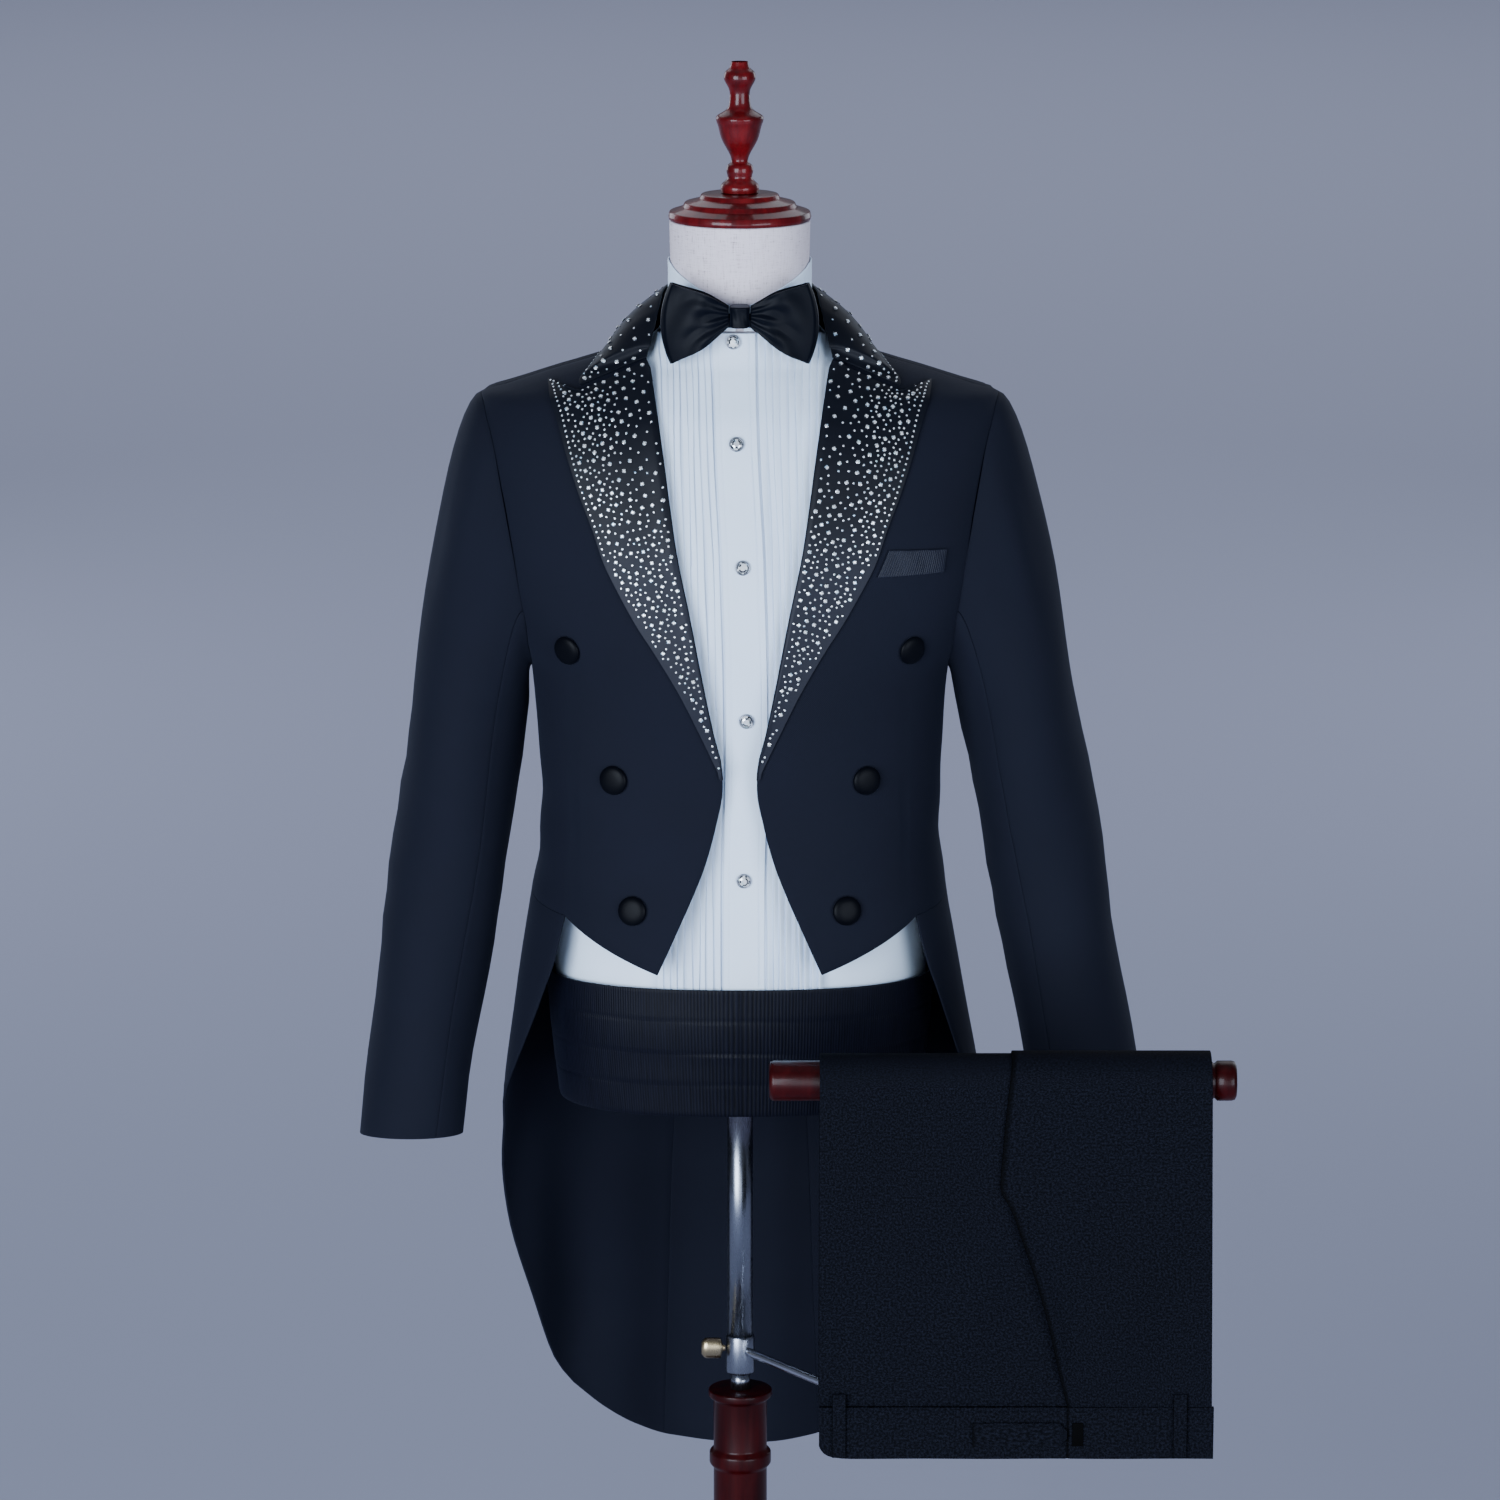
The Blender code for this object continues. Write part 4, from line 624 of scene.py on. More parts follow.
def cotton(name, dark, light):
    """Fine white shirting, mixed to blue-grey by painted shade along the pleats and the placket's edges and seam"""
    made = Finish(name, Sheen_Weight=0.08, Specular_IOR_Level=0.3)
    cloth_place = made.place("UV")
    fine = math.tau / 0.0007
    weave = (made.axis(cloth_place, "X") * fine).sine() * (made.axis(cloth_place, "Y") * fine).sine()
    wide = made.noise(made.place(), 14.0, 4.0)
    # Painted shade: the stored value mixes the shirting to blue-grey
    made.feed("Base Color", made.mix(made.painted_shade_and_black(), made.tones(wide, dark, light), (0.30, 0.39, 0.56, 1.0)))
    made.feed("Roughness", wide * 0.10 + 0.72)
    made.bump(weave * 0.5 + made.noise(cloth_place, 1500.0, 2.0), 0.00012, 0.5)
    return made.material


def canvas(name):
    """Linen over the dress form, with slubs along both threads"""
    made = Finish(name, Specular_IOR_Level=0.2)
    across = made.noise(made.place("Object", (1.0, 1.0, 14.0)), 110.0, 4.0)
    upright = made.noise(made.place("Object", (9.0, 9.0, 0.7)), 110.0, 4.0)
    wide = made.noise(made.place(), 6.0, 3.0)
    threads = across * 0.5 + upright * 0.5
    stops = ((0.36, (0.34, 0.28, 0.31)), (0.45, (0.66, 0.59, 0.64)), (0.70, (0.77, 0.71, 0.77)))
    made.feed("Base Color", made.ramp(threads * 0.8 + wide * 0.2, *stops))
    made.feed("Roughness", wide * 0.1 + 0.82)
    made.bump(threads, 0.0006, 0.6)
    return made.material


def mahogany(name, stain_and_painted_shade=1.0, lacquer=0.35):
    """Red stained wood under gloss lacquer, darkened all over by a factor that is partly a darker stain and partly
    painted shade
    """
    made = Finish(name, Coat_Roughness=0.08, Coat_Weight=lacquer, Specular_IOR_Level=0.12)
    grain = made.noise(made.place("Object", (26.0, 26.0, 2.2)), 4.0, 6.0, 0.62)
    pores = made.noise(made.place("Object", (160.0, 160.0, 8.0)), 6.0, 3.0)
    wide = made.noise(made.place(), 17.0, 3.0)
    stops = ((0.30, (0.022, 0.0006, 0.0012)), (0.48, (0.080, 0.0016, 0.0030)), (0.68, (0.160, 0.0050, 0.0060)))
    # The factor darkens every tone: partly a darker stain and partly painted shade
    stops = [(place, tuple(part * stain_and_painted_shade for part in colour)) for place, colour in stops]
    tone = made.ramp(grain * 0.6 + wide * 0.4, *stops)
    made.feed("Base Color", made.mix(pores.step(0.58, 0.75) * 0.5, tone, (0.02, 0.002, 0.002, 1.0)))
    made.feed("Roughness", grain * 0.15 + 0.28)
    made.bump(pores, 0.0002, 0.25)
    return made.material


def metal(name, colour, roughness):
    """Polished metal with faint wiping marks"""
    made = Finish(name, Metallic=1.0)
    marks = made.noise(made.place("Object", (1.0, 1.0, 0.15)), 600.0, 3.0)
    wide = made.noise(made.place(), 35.0, 3.0)
    made.feed("Base Color", made.tones(wide, tuple(0.78 * part for part in colour), colour))
    made.feed("Roughness", marks * 0.10 + wide * 0.06 + (roughness - 0.06))
    made.bump(marks, 0.00005, 0.3)
    return made.material


def cut_glass(name):
    """Foil-backed cut stones with painted reflections on their facets: dark girdle, bright crown and grey table, with
    a faint play of colour
    """
    made = Finish(name, Metallic=0.35, Specular_IOR_Level=0.8, Coat_Weight=0.5, Coat_Roughness=0.05)
    facet = made.axis(made.place("UV"), "X")
    spark = made.noise(made.place(), 260.0, 1.0)
    tint = made.ramp(spark, (0.30, (0.55, 0.78, 0.95)), (0.45, (0.95, 0.98, 1.0)), (0.58, (1.0, 0.98, 0.96)),
                     (0.72, (0.66, 0.90, 0.92)))
    # Painted reflections: each facet's stored value mixes from near black to a bright tint
    made.feed("Base Color", made.mix(facet, (0.004, 0.006, 0.010, 1.0), tint))
    made.feed("Roughness", made.noise(made.place(), 900.0, 1.0) * 0.15 + 0.08)
    return made.material


FINISHES = {
    "wool": worsted("coat_wool", (0.0028, 0.0034, 0.0070), (0.0074, 0.0088, 0.0172), 0.03),
    "trouser_wool": worsted("trouser_wool", (0.0005, 0.0006, 0.0014), (0.0066, 0.0077, 0.0136), 0.0, 0.0024, 480.0,
                            0.05),
    # The lapel and collar satin gets a painted sheen lower down
    "satin": silk("lapel_satin", (0.0010, 0.0014, 0.0034), (0.0036, 0.0050, 0.0100), 0.50, gloss=0.16,
                  painted_sheen_tone=(0.0120, 0.0132, 0.0215)),
    "bow_satin": silk("bow_satin", (0.0006, 0.0010, 0.0027), (0.0026, 0.0038, 0.0080), 0.46, gloss=0.08),
    "button_satin": silk("button_satin", (0.0004, 0.0006, 0.0014), (0.0016, 0.0020, 0.0040), 0.42, gloss=0.07),
    "ribbed_silk": silk("ribbed_silk", (0.0007, 0.0009, 0.0027), (0.0050, 0.0058, 0.0140), 0.48, 0.0024, 0.10),
    "welt_silk": silk("welt_silk", (0.0045, 0.0055, 0.0115), (0.0110, 0.0132, 0.0250), 0.42, 0.0021, 0.16),
    "shirting": cotton("shirt_cotton", (0.68, 0.81, 0.98), (0.76, 0.88, 1.0)),
    "linen": canvas("form_linen"),
    "wood": mahogany("red_lacquered_wood"),
    # Darker copy of the red wood for the base, post and rod: partly a darker stain, partly painted shade
    "dark_wood": mahogany("dark_lacquered_wood", 0.24, 0.10),
    "chrome": metal("brushed_steel", (0.30, 0.32, 0.37), 0.26),
    "bright_steel": metal("bright_steel", (0.62, 0.64, 0.70), 0.22),
    "brass": metal("dark_brass", (0.50, 0.40, 0.24), 0.26),
    "crystal": cut_glass("cut_stones"),
}


# Making the pieces

def keep(name, mesh, finish, nodes=(), smooth_faces=True):
    """A finished mesh as a piece that rides with the stand and stands for its CAD nodes"""
    mesh.materials.append(FINISHES[finish])
    if smooth_faces:
        mesh.shade_smooth()
    piece = bpy.data.objects.new(name + "_shown" if nodes else name, mesh)
    bpy.context.scene.collection.objects.link(piece)
    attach(piece, "root")
    if nodes:
        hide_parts(*nodes)
    return piece


def finished(form, name):
    """The mesh of a shape, once it is done"""
    mesh = bpy.data.meshes.new(name)
    form.to_mesh(mesh)
    form.free()
    return mesh


def ease(piece, width, degrees, segments=3):
    """Round a piece's edges where its faces meet at more than this angle"""
    edge = piece.modifiers.new("edge", "BEVEL")
    edge.width, edge.segments, edge.limit_method, edge.angle_limit = width, segments, "ANGLE", math.radians(degrees)


def tube(segments, cuts):
    """Closed upright tube of radius 1, from -1 up to 1, cut across into rows"""
    form = bmesh.new()
    bmesh.ops.create_cone(form, cap_ends=True, segments=segments, radius1=1.0, radius2=1.0, depth=2.0)
    upright = [edge for edge in form.edges if abs(edge.verts[0].co.z - edge.verts[1].co.z) > 1]
    bmesh.ops.subdivide_edges(form, edges=upright, cuts=cuts, use_grid_fill=False)
    return form


def facing(direction):
    """Turn that brings +Z to a direction"""
    return Vector((0.0, 0.0, 1.0)).rotation_difference(direction).to_matrix().to_4x4()


def cloth(name, points, thickness, finish, held="stretched", rests_on=("form_body",), ring=False, rim=RIM,
          creases=None):
    """Cloth from a grid of points, columns first, with its wall inwards; ring joins its last column to its first,
    and creases gives each column's painted shade along folds, laps and edges"""
    columns, rows = points.shape[:2]
    sheet = bmesh.new()
    if ring:
        points = np.concatenate((points, points[:1]))
        columns += 1
    bmesh.ops.create_grid(sheet, x_segments=columns - 1, y_segments=rows - 1, size=0.5)
    shares = np.array([vert.co[:2] for vert in sheet.verts]) + 0.5
    spots = np.rint(shares * (columns - 1, rows - 1)).astype(int)
    across, up = spread(points, 0).max(), spread(points, 1).max()
    for vert, (i, j) in zip(sheet.verts, spots):
        vert.co = points[i, j]
    chart = sheet.loops.layers.uv.new("cloth")
    if creases is not None:
        # Painted shade: the creases values are stored on each vertex for the finishes to darken the cloth with
        folded = sheet.verts.layers.float.new("painted_shade_and_black")
        for vert, (i, _) in zip(sheet.verts, spots):
            vert[folded] = creases[i]
    sheet.verts.index_update()
    for face in sheet.faces:
        for loop in face.loops:
            share = shares[loop.vert.index]
            loop[chart].uv = (share[0] * across, share[1] * up)
    if ring:
        bmesh.ops.remove_doubles(sheet, verts=sheet.verts, dist=MERGE)
    piece = keep(name, finished(sheet, name), finish, (name,))
    wall = piece.modifiers.new("wall", "SOLIDIFY")
    wall.thickness, wall.offset = thickness, -1.0
    if rim:
        ease(piece, rim, 60, 2)
    width, length, flat_area = FLAT[name if name in FLAT else name.rsplit("_", 1)[0]]
    return piece


def sided(side, points):
    """A grid made for the right side, or mirrored to the left one"""
    return points if side == "right" else points[::-1] * (-1, 1, 1)


def relief(side, turns, heights):
    """Soft drape of the coat, out from its surface, the same for every panel it runs through"""
    angle = np.radians(turns if side == "right" else -turns)
    drag = 0.0011 * hump(heights, 1.045, 0.055) * np.sin(heights * 95 + 2.2 * np.cos(angle * 2) + 1.3 * angle)
    swell = 0.0010 * hump(heights, 1.24, 0.09) * np.sin(heights * 38 + 3.1 * angle + 0.7)
    broad = 0.0008 * np.sin(heights * 21 + 5.0 * angle + 1.9) * under(heights, 1.40, 0.05)
    flutes = 0.0046 * under(heights, 0.965, 0.42) * np.sin(11 * angle + 3.5 * heights + 0.6)
    return drag + swell + broad + flutes


def coat_panel(name, side, grid, out=0.0, thickness=COAT_CLOTH, finish="wool", **how):
    turns, heights = grid[..., 0], grid[..., 1]
    points = coat(turns, heights, relief(side, turns, heights) + out)
    return cloth(name, sided(side, points), thickness, finish, **how)


def spun(name, profile, finish, segments, centre=(0.0, 0.0, 0.0), axis=(0.0, 0.0, 1.0), rounding=0.0):
    """Turned piece from a profile of radius and height, its ends on the axis, its edges eased"""
    form = bmesh.new()
    verts = [form.verts.new((radius, 0.0, height)) for radius, height in profile]
    edges = [form.edges.new(pair) for pair in zip(verts, verts[1:])]
    bmesh.ops.spin(form, geom=verts + edges, axis=(0, 0, 1), cent=(0, 0, 0), angle=math.tau, steps=segments,
                   use_merge=True)
    bmesh.ops.remove_doubles(form, verts=form.verts, dist=MERGE)
    bmesh.ops.recalc_face_normals(form, faces=form.faces)
    placed = Matrix.Translation(centre) @ facing(Vector(axis).normalized())
    bmesh.ops.transform(form, matrix=placed, verts=form.verts)
    piece = keep(name, finished(form, name), finish, (name,))
    if rounding:
        ease(piece, rounding, 24)


def round_profile(profile, steps=5):
    """Turned profile with its hollows and beads drawn as smooth curves between the given points"""
    points = np.array(profile)
    fine = [tuple(points[0])]
    for i in range(len(points) - 1):
        before, start = points[max(i - 1, 0)], points[i]
        end, after = points[i + 1], points[min(i + 2, len(points) - 1)]
        for t in between(0, 1, steps)[1:]:
            bend = 0.5 * ((2 * start) + (end - before) * t + (2 * before - 5 * start + 4 * end - after) * t * t
                          + (3 * start - before - 3 * end + after) * t ** 3)
            fine.append((max(float(bend[0]), 0.0), float(bend[1])))
    return fine


# Coat

def side_seam_points():
    """Side seam from the waist up to the armhole"""
    knots = ((0, SIDE_SEAM_TURN, waist_seam(SIDE_SEAM_TURN)), (4, SIDE_SEAM_TURN, 1.155), (5, 84.0, 1.180),
             (6, *armhole(SIDE_SEAM_RING, "front")))
    spots = between(0, 6, 6 * FINE)
    return list(zip(smooth(knots, 1)(spots), smooth(knots, 2)(spots)))


def armhole(ring, face):
    """Turn and height of the coat's armhole; face is front or back"""
    column = 1 if face == "front" else 2
    height = ARMHOLE_CENTRE + ARMHOLE_RADIUS * np.cos(np.radians(ring))
    return float(smooth(ARMHOLE_TURNS, column)(ring)), float(height)


def armhole_edge(face, start, end):
    """Points of the armhole from one ring angle to another"""
    return [armhole(ring, face) for ring in between(start, end, abs(end - start) * RING_STEPS // 360 * FINE)]


def back_seam_points(low, high, steps):
    """Curved seam between the back and its neighbours"""
    heights = between(low, high, steps * FINE)
    return list(zip(smooth(BACK_SEAM)(heights), heights))


def upper_back_seam():
    """The same seam from the waist up to the armhole"""
    return (back_seam_points(waist_seam(BACK_SEAM_TURN), SIDE_PANEL_TOP, 5)
            + back_seam_points(SIDE_PANEL_TOP, SIDE_PANEL_CORNER, 1)[1:])


def waist_seam(turn):
    """Height of the waist seam, rising a little towards the back"""
    return WAIST_HEIGHT + 0.012 * (turn - SKIRT_EDGE[-1][1]) / (BACK_SEAM_TURN - SKIRT_EDGE[-1][1])


def forepart(side):
    """Front of the coat, from the cut-away edge to the side seam and armhole"""
    edge = smooth(FRONT_EDGE)
    right = side_seam_points() + armhole_edge("front", SIDE_SEAM_RING, 0)[1:]
    heights = np.concatenate((between(FRONT_POINT_HEIGHT, FRONT_BREAK_HEIGHT, 6 * FINE),
                              between(FRONT_BREAK_HEIGHT, FRONT_TOP_HEIGHT, 9 * FINE)[1:]))
    left = list(zip(turn_of(coat, edge(heights), heights), heights))
    last = np.array(left[-1])
    left += [tuple(last + (np.array((90, NECK_HEIGHT)) - last) * t) for t in between(0, 1, FINE)[1:]]
    corner = float(turn_of(coat, WAIST_CORNER, WAIST_HEIGHT))
    turns = np.concatenate((between(left[0][0], corner, 6 * FINE), between(corner, right[0][0], 3 * FINE)[1:]))
    rise = (WAIST_HEIGHT - FRONT_POINT_HEIGHT) / (corner - left[0][0])
    bottom = [(t, waist_seam(t) if t >= corner else FRONT_POINT_HEIGHT + rise * (t - left[0][0])) for t in turns]
    top = [(90, z) for z in between(left[-1][1], right[-1][1], len(turns) - 1)]
    grid = patch(bottom, top, left, right)
    reach = np.abs(coat(grid[..., 0], grid[..., 1])[..., 0])
    dart = hump(reach, DART_REACH, 0.0011) * under(grid[..., 1], DART_TOP, 0.02)
    coat_panel(f"coat_front_{side}", side, grid, out=-0.0009 * dart * (grid[..., 1] > 1.0))


def side_body(side):
    """Panel under the arm, between the side seam and the back seam"""
    top = armhole_edge("front", SIDE_SEAM_RING, 180) + armhole_edge("back", 180, SIDE_SEAM_RING)[1:]
    top = [(turn, height - SEAM / 2) for turn, height in top]
    left = side_seam_points()
    right = upper_back_seam()
    left[-1], right[-1] = top[0], top[-1]
    bottom = [(turn, waist_seam(turn)) for turn in between(left[0][0], right[0][0], len(top) - 1)]
    coat_panel(f"coat_side_{side}", side, patch(bottom, top, left, right))


def back_panel(side):
    """Back with its long narrow tail, from the neck to the hem"""
    hem = smooth(TAIL_HEM)
    waist = waist_seam(BACK_SEAM_TURN)
    left = back_seam_points(hem(TAIL_SEAM_TURN), waist, TAIL_ROWS) + upper_back_seam()[1:]
    left += armhole_edge("back", SIDE_SEAM_RING, 0)[1:]
    middle = between(hem(180), waist, TAIL_ROWS * FINE)
    heights = np.concatenate((middle, between(waist, NECK_HEIGHT, len(left) - len(middle))[1:]))
    right = [(180, z) for z in heights]
    bottom = [(turn, hem(turn)) for turn in between(left[0][0], right[0][0], 5 * FINE)]
    shoulder = [(90, z) for z in between(left[-1][1], NECK_HEIGHT, 2 * FINE)]
    neck = [(turn, NECK_HEIGHT) for turn in between(90, 180, 3 * FINE)]
    coat_panel(f"coat_back_{side}", side, patch(bottom, shoulder + neck[1:], left, right))


def skirt(side):
    """Tail skirt sewn under the waist seam, cut away at the front"""
    edge, hem = smooth(SKIRT_EDGE), smooth(TAIL_HEM)
    right = back_seam_points(hem(TAIL_SEAM_TURN), waist_seam(BACK_SEAM_TURN), TAIL_ROWS)
    right[-1] = (right[-1][0], right[-1][1] - SEAM)
    left = [(edge(z), z) for z in between(SKIRT_EDGE[0][0], WAIST_HEIGHT - SEAM, TAIL_ROWS * FINE)]
    steps = 8 * FINE
    bottom = [(turn, hem(turn)) for turn in between(left[0][0], right[0][0], steps)]
    top = [(turn, waist_seam(turn) - SEAM) for turn in between(left[-1][0], right[-1][0], steps)]
    coat_panel(f"coat_skirt_{side}", side, patch(bottom, top, left, right), held="hung")


def sleeve_section(side, ring, height):
    """Point of the hanging sleeve below the biceps"""
    table = SLEEVE_SECTIONS[side]
    centre_x, centre_y, half_width, half_depth = (smooth(table, column)(height) for column in (1, 2, 3, 4))
    angle = np.radians(ring)
    return np.stack(np.broadcast_arrays(centre_x + half_width * np.cos(angle),
                                        centre_y - half_depth * np.sin(angle), height), axis=-1)


def sleeve_path(side, ring):
    """Points from the armhole over the cap and down to the cuff, for one angle round the sleeve"""
    face = "front" if ring <= 180 else "back"
    start = coat(*armhole(min(ring, 360 - ring), face))
    biceps = SLEEVE_SECTIONS[side][-1][0]
    end = sleeve_section(side, ring, biceps)
    fall = sleeve_section(side, ring, biceps - 0.02) - end
    length = np.linalg.norm(end - start)
    leave = CAP_LEAVE * length * np.array((1.0, -0.35 * math.sin(math.radians(ring)), -0.18))
    arrive = fall / np.linalg.norm(fall) * length * CAP_ARRIVE
    start = start + leave / np.linalg.norm(leave) * SEAM * 0.3
    t = between(0, 1, SLEEVE_ROWS * FINE)[:, None]
    cap = (start * (1 + 2 * t) * (1 - t) ** 2 + leave * t * (1 - t) ** 2
           + end * t * t * (3 - 2 * t) + arrive * t * t * (t - 1))
    cuff = CUFF_HEIGHT + 0.006 * math.sin(math.radians(ring))
    arm = sleeve_section(side, ring, between(biceps, cuff, SLEEVE_ROWS * FINE)[1:])
    return np.concatenate((cap, arm))


def sleeve(side):
    """Two-piece sleeve, a top piece and an under piece, with soft creases"""
    slit = math.degrees(SEAM / 2 / 0.045)
    for part, start, end in (("top", -SLEEVE_SEAM, SLEEVE_SEAM), ("under", SLEEVE_SEAM, 360 - SLEEVE_SEAM)):
        rings = between(start, end, (end - start) * RING_STEPS * FINE // 360)
        rings[0] += slit
        rings[-1] -= slit
        behind, outer, ahead = (np.array([sleeve_path(side, (ring + step) % 360) for ring in rings])
                                for step in (-4, 0, 4))
        normals = np.cross(ahead - behind, np.gradient(outer, axis=1))
        normals /= np.linalg.norm(normals, axis=-1, keepdims=True)
        angle = np.radians(rings)[:, None]
        height = outer[..., 2]
        worn = under(height, 1.36, 0.10) * above(height, 0.79, 0.05)
        lean = 0.9 if side == "right" else 2.3
        inner = np.cos(angle - lean)
        creases = 0.0013 * hump(height, 1.035, 0.085) * np.sin(height * 120 + 2.6 * inner) * (0.6 - 0.4 * inner)
        sway = 0.0012 * np.sin(height * 30 + 3 * angle + lean)
        cap = 0.0010 * hump(height, 1.30, 0.05) * np.sin(7 * angle + lean)
        points = outer + normals * ((creases + sway) * worn + cap)[..., None]
        cloth(f"coat_{part}_sleeve_{side}", sided(side, points), COAT_CLOTH, "wool", held="hung", rim=0.0002)


def lapel_grid():
    """Turns and heights of a lapel, from the break to the notch"""
    edge, outline = smooth(FRONT_EDGE), smooth(LAPEL_EDGE)
    rises = 1 - (1 - between(0, 1, LAPEL_ROWS)) ** 1.5
    inner = LAPEL_LOW + (GORGE_INNER[1] - LAPEL_LOW) * rises
    outer = LAPEL_OUTER_LOW + (LAPEL_TIP[1] - LAPEL_OUTER_LOW) * rises
    left = list(zip(turn_of(coat, edge(inner) + 0.0004, inner), inner))
    right = list(zip(turn_of(coat, np.maximum(outline(outer), edge(outer) + 0.0030), outer), outer))
    corners = (GORGE_INNER, NOTCH, LAPEL_TIP)
    shares = between(0, 1, LAPEL_COLUMNS)
    reaches, heights = (np.interp(shares, (0.0, 0.7, 1.0), part) for part in zip(*corners))
    top = list(zip(turn_of(coat, reaches, heights), heights))
    bottom = [tuple(np.array(left[0]) + (np.array(right[0]) - left[0]) * share) for share in shares]
    left[-1], right[-1] = top[0], top[-1]
    return patch(bottom, top, left, right)


def lapel(side):
    """Satin lapel with its rolled inner edge, set with stones"""
    grid = lapel_grid()
    share, height = between(0, 1, LAPEL_COLUMNS)[:, None], between(0, 1, LAPEL_ROWS)[None, :]
    roll = 0.0022 * hump(share, 0.0, 0.16) * (1 - hump(share, 0.0, 0.03)) * (0.4 + 0.6 * height)
    turns, heights = grid[..., 0], grid[..., 1]
    points = coat(turns, heights, relief(side, turns, heights) + LAPEL_OUT + roll)
    cloth(f"coat_lapel_{side}", sided(side, points), SATIN, "satin", rests_on=(f"coat_front_{side}",), rim=0.0002)
    edge = edge_places(points, LAPEL_STONE_INSET, 0.55, 0.982)
    peak = [(u, 0.984) for u in np.arange(0.62, 0.93, 0.058)]
    set_stones(f"lapel_stones_{side}", points, lapel_room, 7 if side == "right" else 8, edge + peak, side, 0.0024)


def lapel_room(u, v):
    """Extra room round a lapel's stones, most near the roll line in the upper half"""
    return 0.0044 * (max(0.0, 0.66 - u) / 0.66) ** 0.8 * above(v, 0.42, 0.30)


def collar_room(u, v):
    """Extra room round the collar's stones, most towards the fold and the back"""
    return 0.0040 * (1 - u) + 0.0060 * under(abs(2 * v - 1), 0.95, 0.30)


def edge_places(points, inset, start, end):
    """Places (u, v) in a row inside the last column of a cloth grid, evenly spaced"""
    rows, width = np.arange(points.shape[1]), spread(points, 0)
    runs = np.concatenate(([0.0], np.cumsum(np.linalg.norm(np.diff(points[-1], axis=0), axis=1))))
    places = []
    for run in np.arange(runs[-1] * start, runs[-1] * end, EDGE_STONE_SPACING):
        j = float(np.interp(run, runs, rows))
        places.append((1 - inset / float(np.interp(j, rows, width)), j / rows[-1]))
    return places


def set_stones(name, points, room, seed, rows_first, side="right", low_margin=0.0):
    """Cut stones over a grid of cloth points: small ones in rows first, then large and small ones thrown between"""
    chance = np.random.default_rng(seed)
    columns, rows = points.shape[:2]
    normals = grid_normals(points)
    width, length = spread(points, 0), spread(points, 1).max()
    placed, sizes = np.zeros((0, 3)), np.zeros(0)
    stones = bmesh.new()
    # UV layer that holds each facet's painted reflection
    painted_reflections = stones.loops.layers.uv.new("facet")
    throws = [(SMALL_STONE, u, v, SMALL_APART, SMALL_APART) for u, v in rows_first]
    throws += [(LARGE_STONE, u, v, LARGE_APART, LARGE_FROM_SMALL) for u, v in chance.random((LARGE_THROWS, 2))]
    throws += [(SMALL_STONE, u, v, SMALL_FROM_LARGE, SMALL_APART) for u, v in chance.random((SMALL_THROWS, 2))]
    flip = Vector((1.0 if side == "right" else -1.0, 1.0, 1.0))
    for count, (radius, u, v, from_large, from_small) in enumerate(throws):
        j = v * (rows - 1)
        across = float(np.interp(j, np.arange(rows), width))
        if count >= len(rows_first):
            margin = STONE_MARGIN + low_margin * under(v, 0.62, 0.2) * (u > 0.5)
            if chance.random() > across / width.max() or min(u, 1 - u) * across < margin + radius:
                continue
            if min(v, 1 - v) * length < STONE_END_MARGIN:
                continue
        place, normal = (between_points(grid, u * (columns - 1), j) for grid in (points, normals))
        extra = room(u, v) if count >= len(rows_first) else 0.0
        apart = np.where(sizes == LARGE_STONE, from_large, from_small) + extra
        if (np.linalg.norm(placed - place, axis=1) < apart).any():
            continue
        placed, sizes = np.vstack((placed, place)), np.append(sizes, radius)
        look = (Vector(normal) * flip).normalized()
        seat = Matrix.Translation(Vector(place) * flip + look * (0.0001 + radius * 0.19))
        cut_stone(stones, painted_reflections, radius, seat @ facing(look) @ Matrix.Rotation(chance.random() * math.tau, 4, "Z"))
    keep(name, finished(stones, name), "crystal", smooth_faces=False)


def cut_stone(stones, painted_reflections, radius, seat):
    """One stone: a steep girdle, a crown of eight facets and a table, with painted reflections making the girdle
    dark, the facets lighter and darker and the table bright
    """
    made = bmesh.ops.create_cone(stones, cap_ends=True, segments=8, radius1=radius, radius2=radius * 0.80,
                                 depth=radius * 0.38, matrix=seat)["verts"]
    faces = {face for vert in made for face in vert.link_faces}
    top = min((face for face in faces if len(face.verts) == 8), key=lambda face: face.calc_area())
    crown = bmesh.ops.inset_individual(stones, faces=[top], thickness=radius * 0.40, depth=radius * 0.15)["faces"]
    # Painted reflections: fixed dark, alternating and bright values for the girdle, the crown facets and the table
    for shades, group in (((0.02,), faces), ((0.10, 0.75, 0.22, 0.55), crown), ((1.0,), [top])):
        for count, face in enumerate(group):
            for loop in face.loops:
                loop[painted_reflections].uv = (shades[count % len(shades)], 0.0)


def between_points(grid, i, j):
    """Value of a grid of points between its columns and rows"""
    a, b = min(int(i), grid.shape[0] - 2), min(int(j), grid.shape[1] - 2)
    s, t = i - a, j - b
    low = grid[a, b] * (1 - s) + grid[a + 1, b] * s
    high = grid[a, b + 1] * (1 - s) + grid[a + 1, b + 1] * s
    return low * (1 - t) + high * t


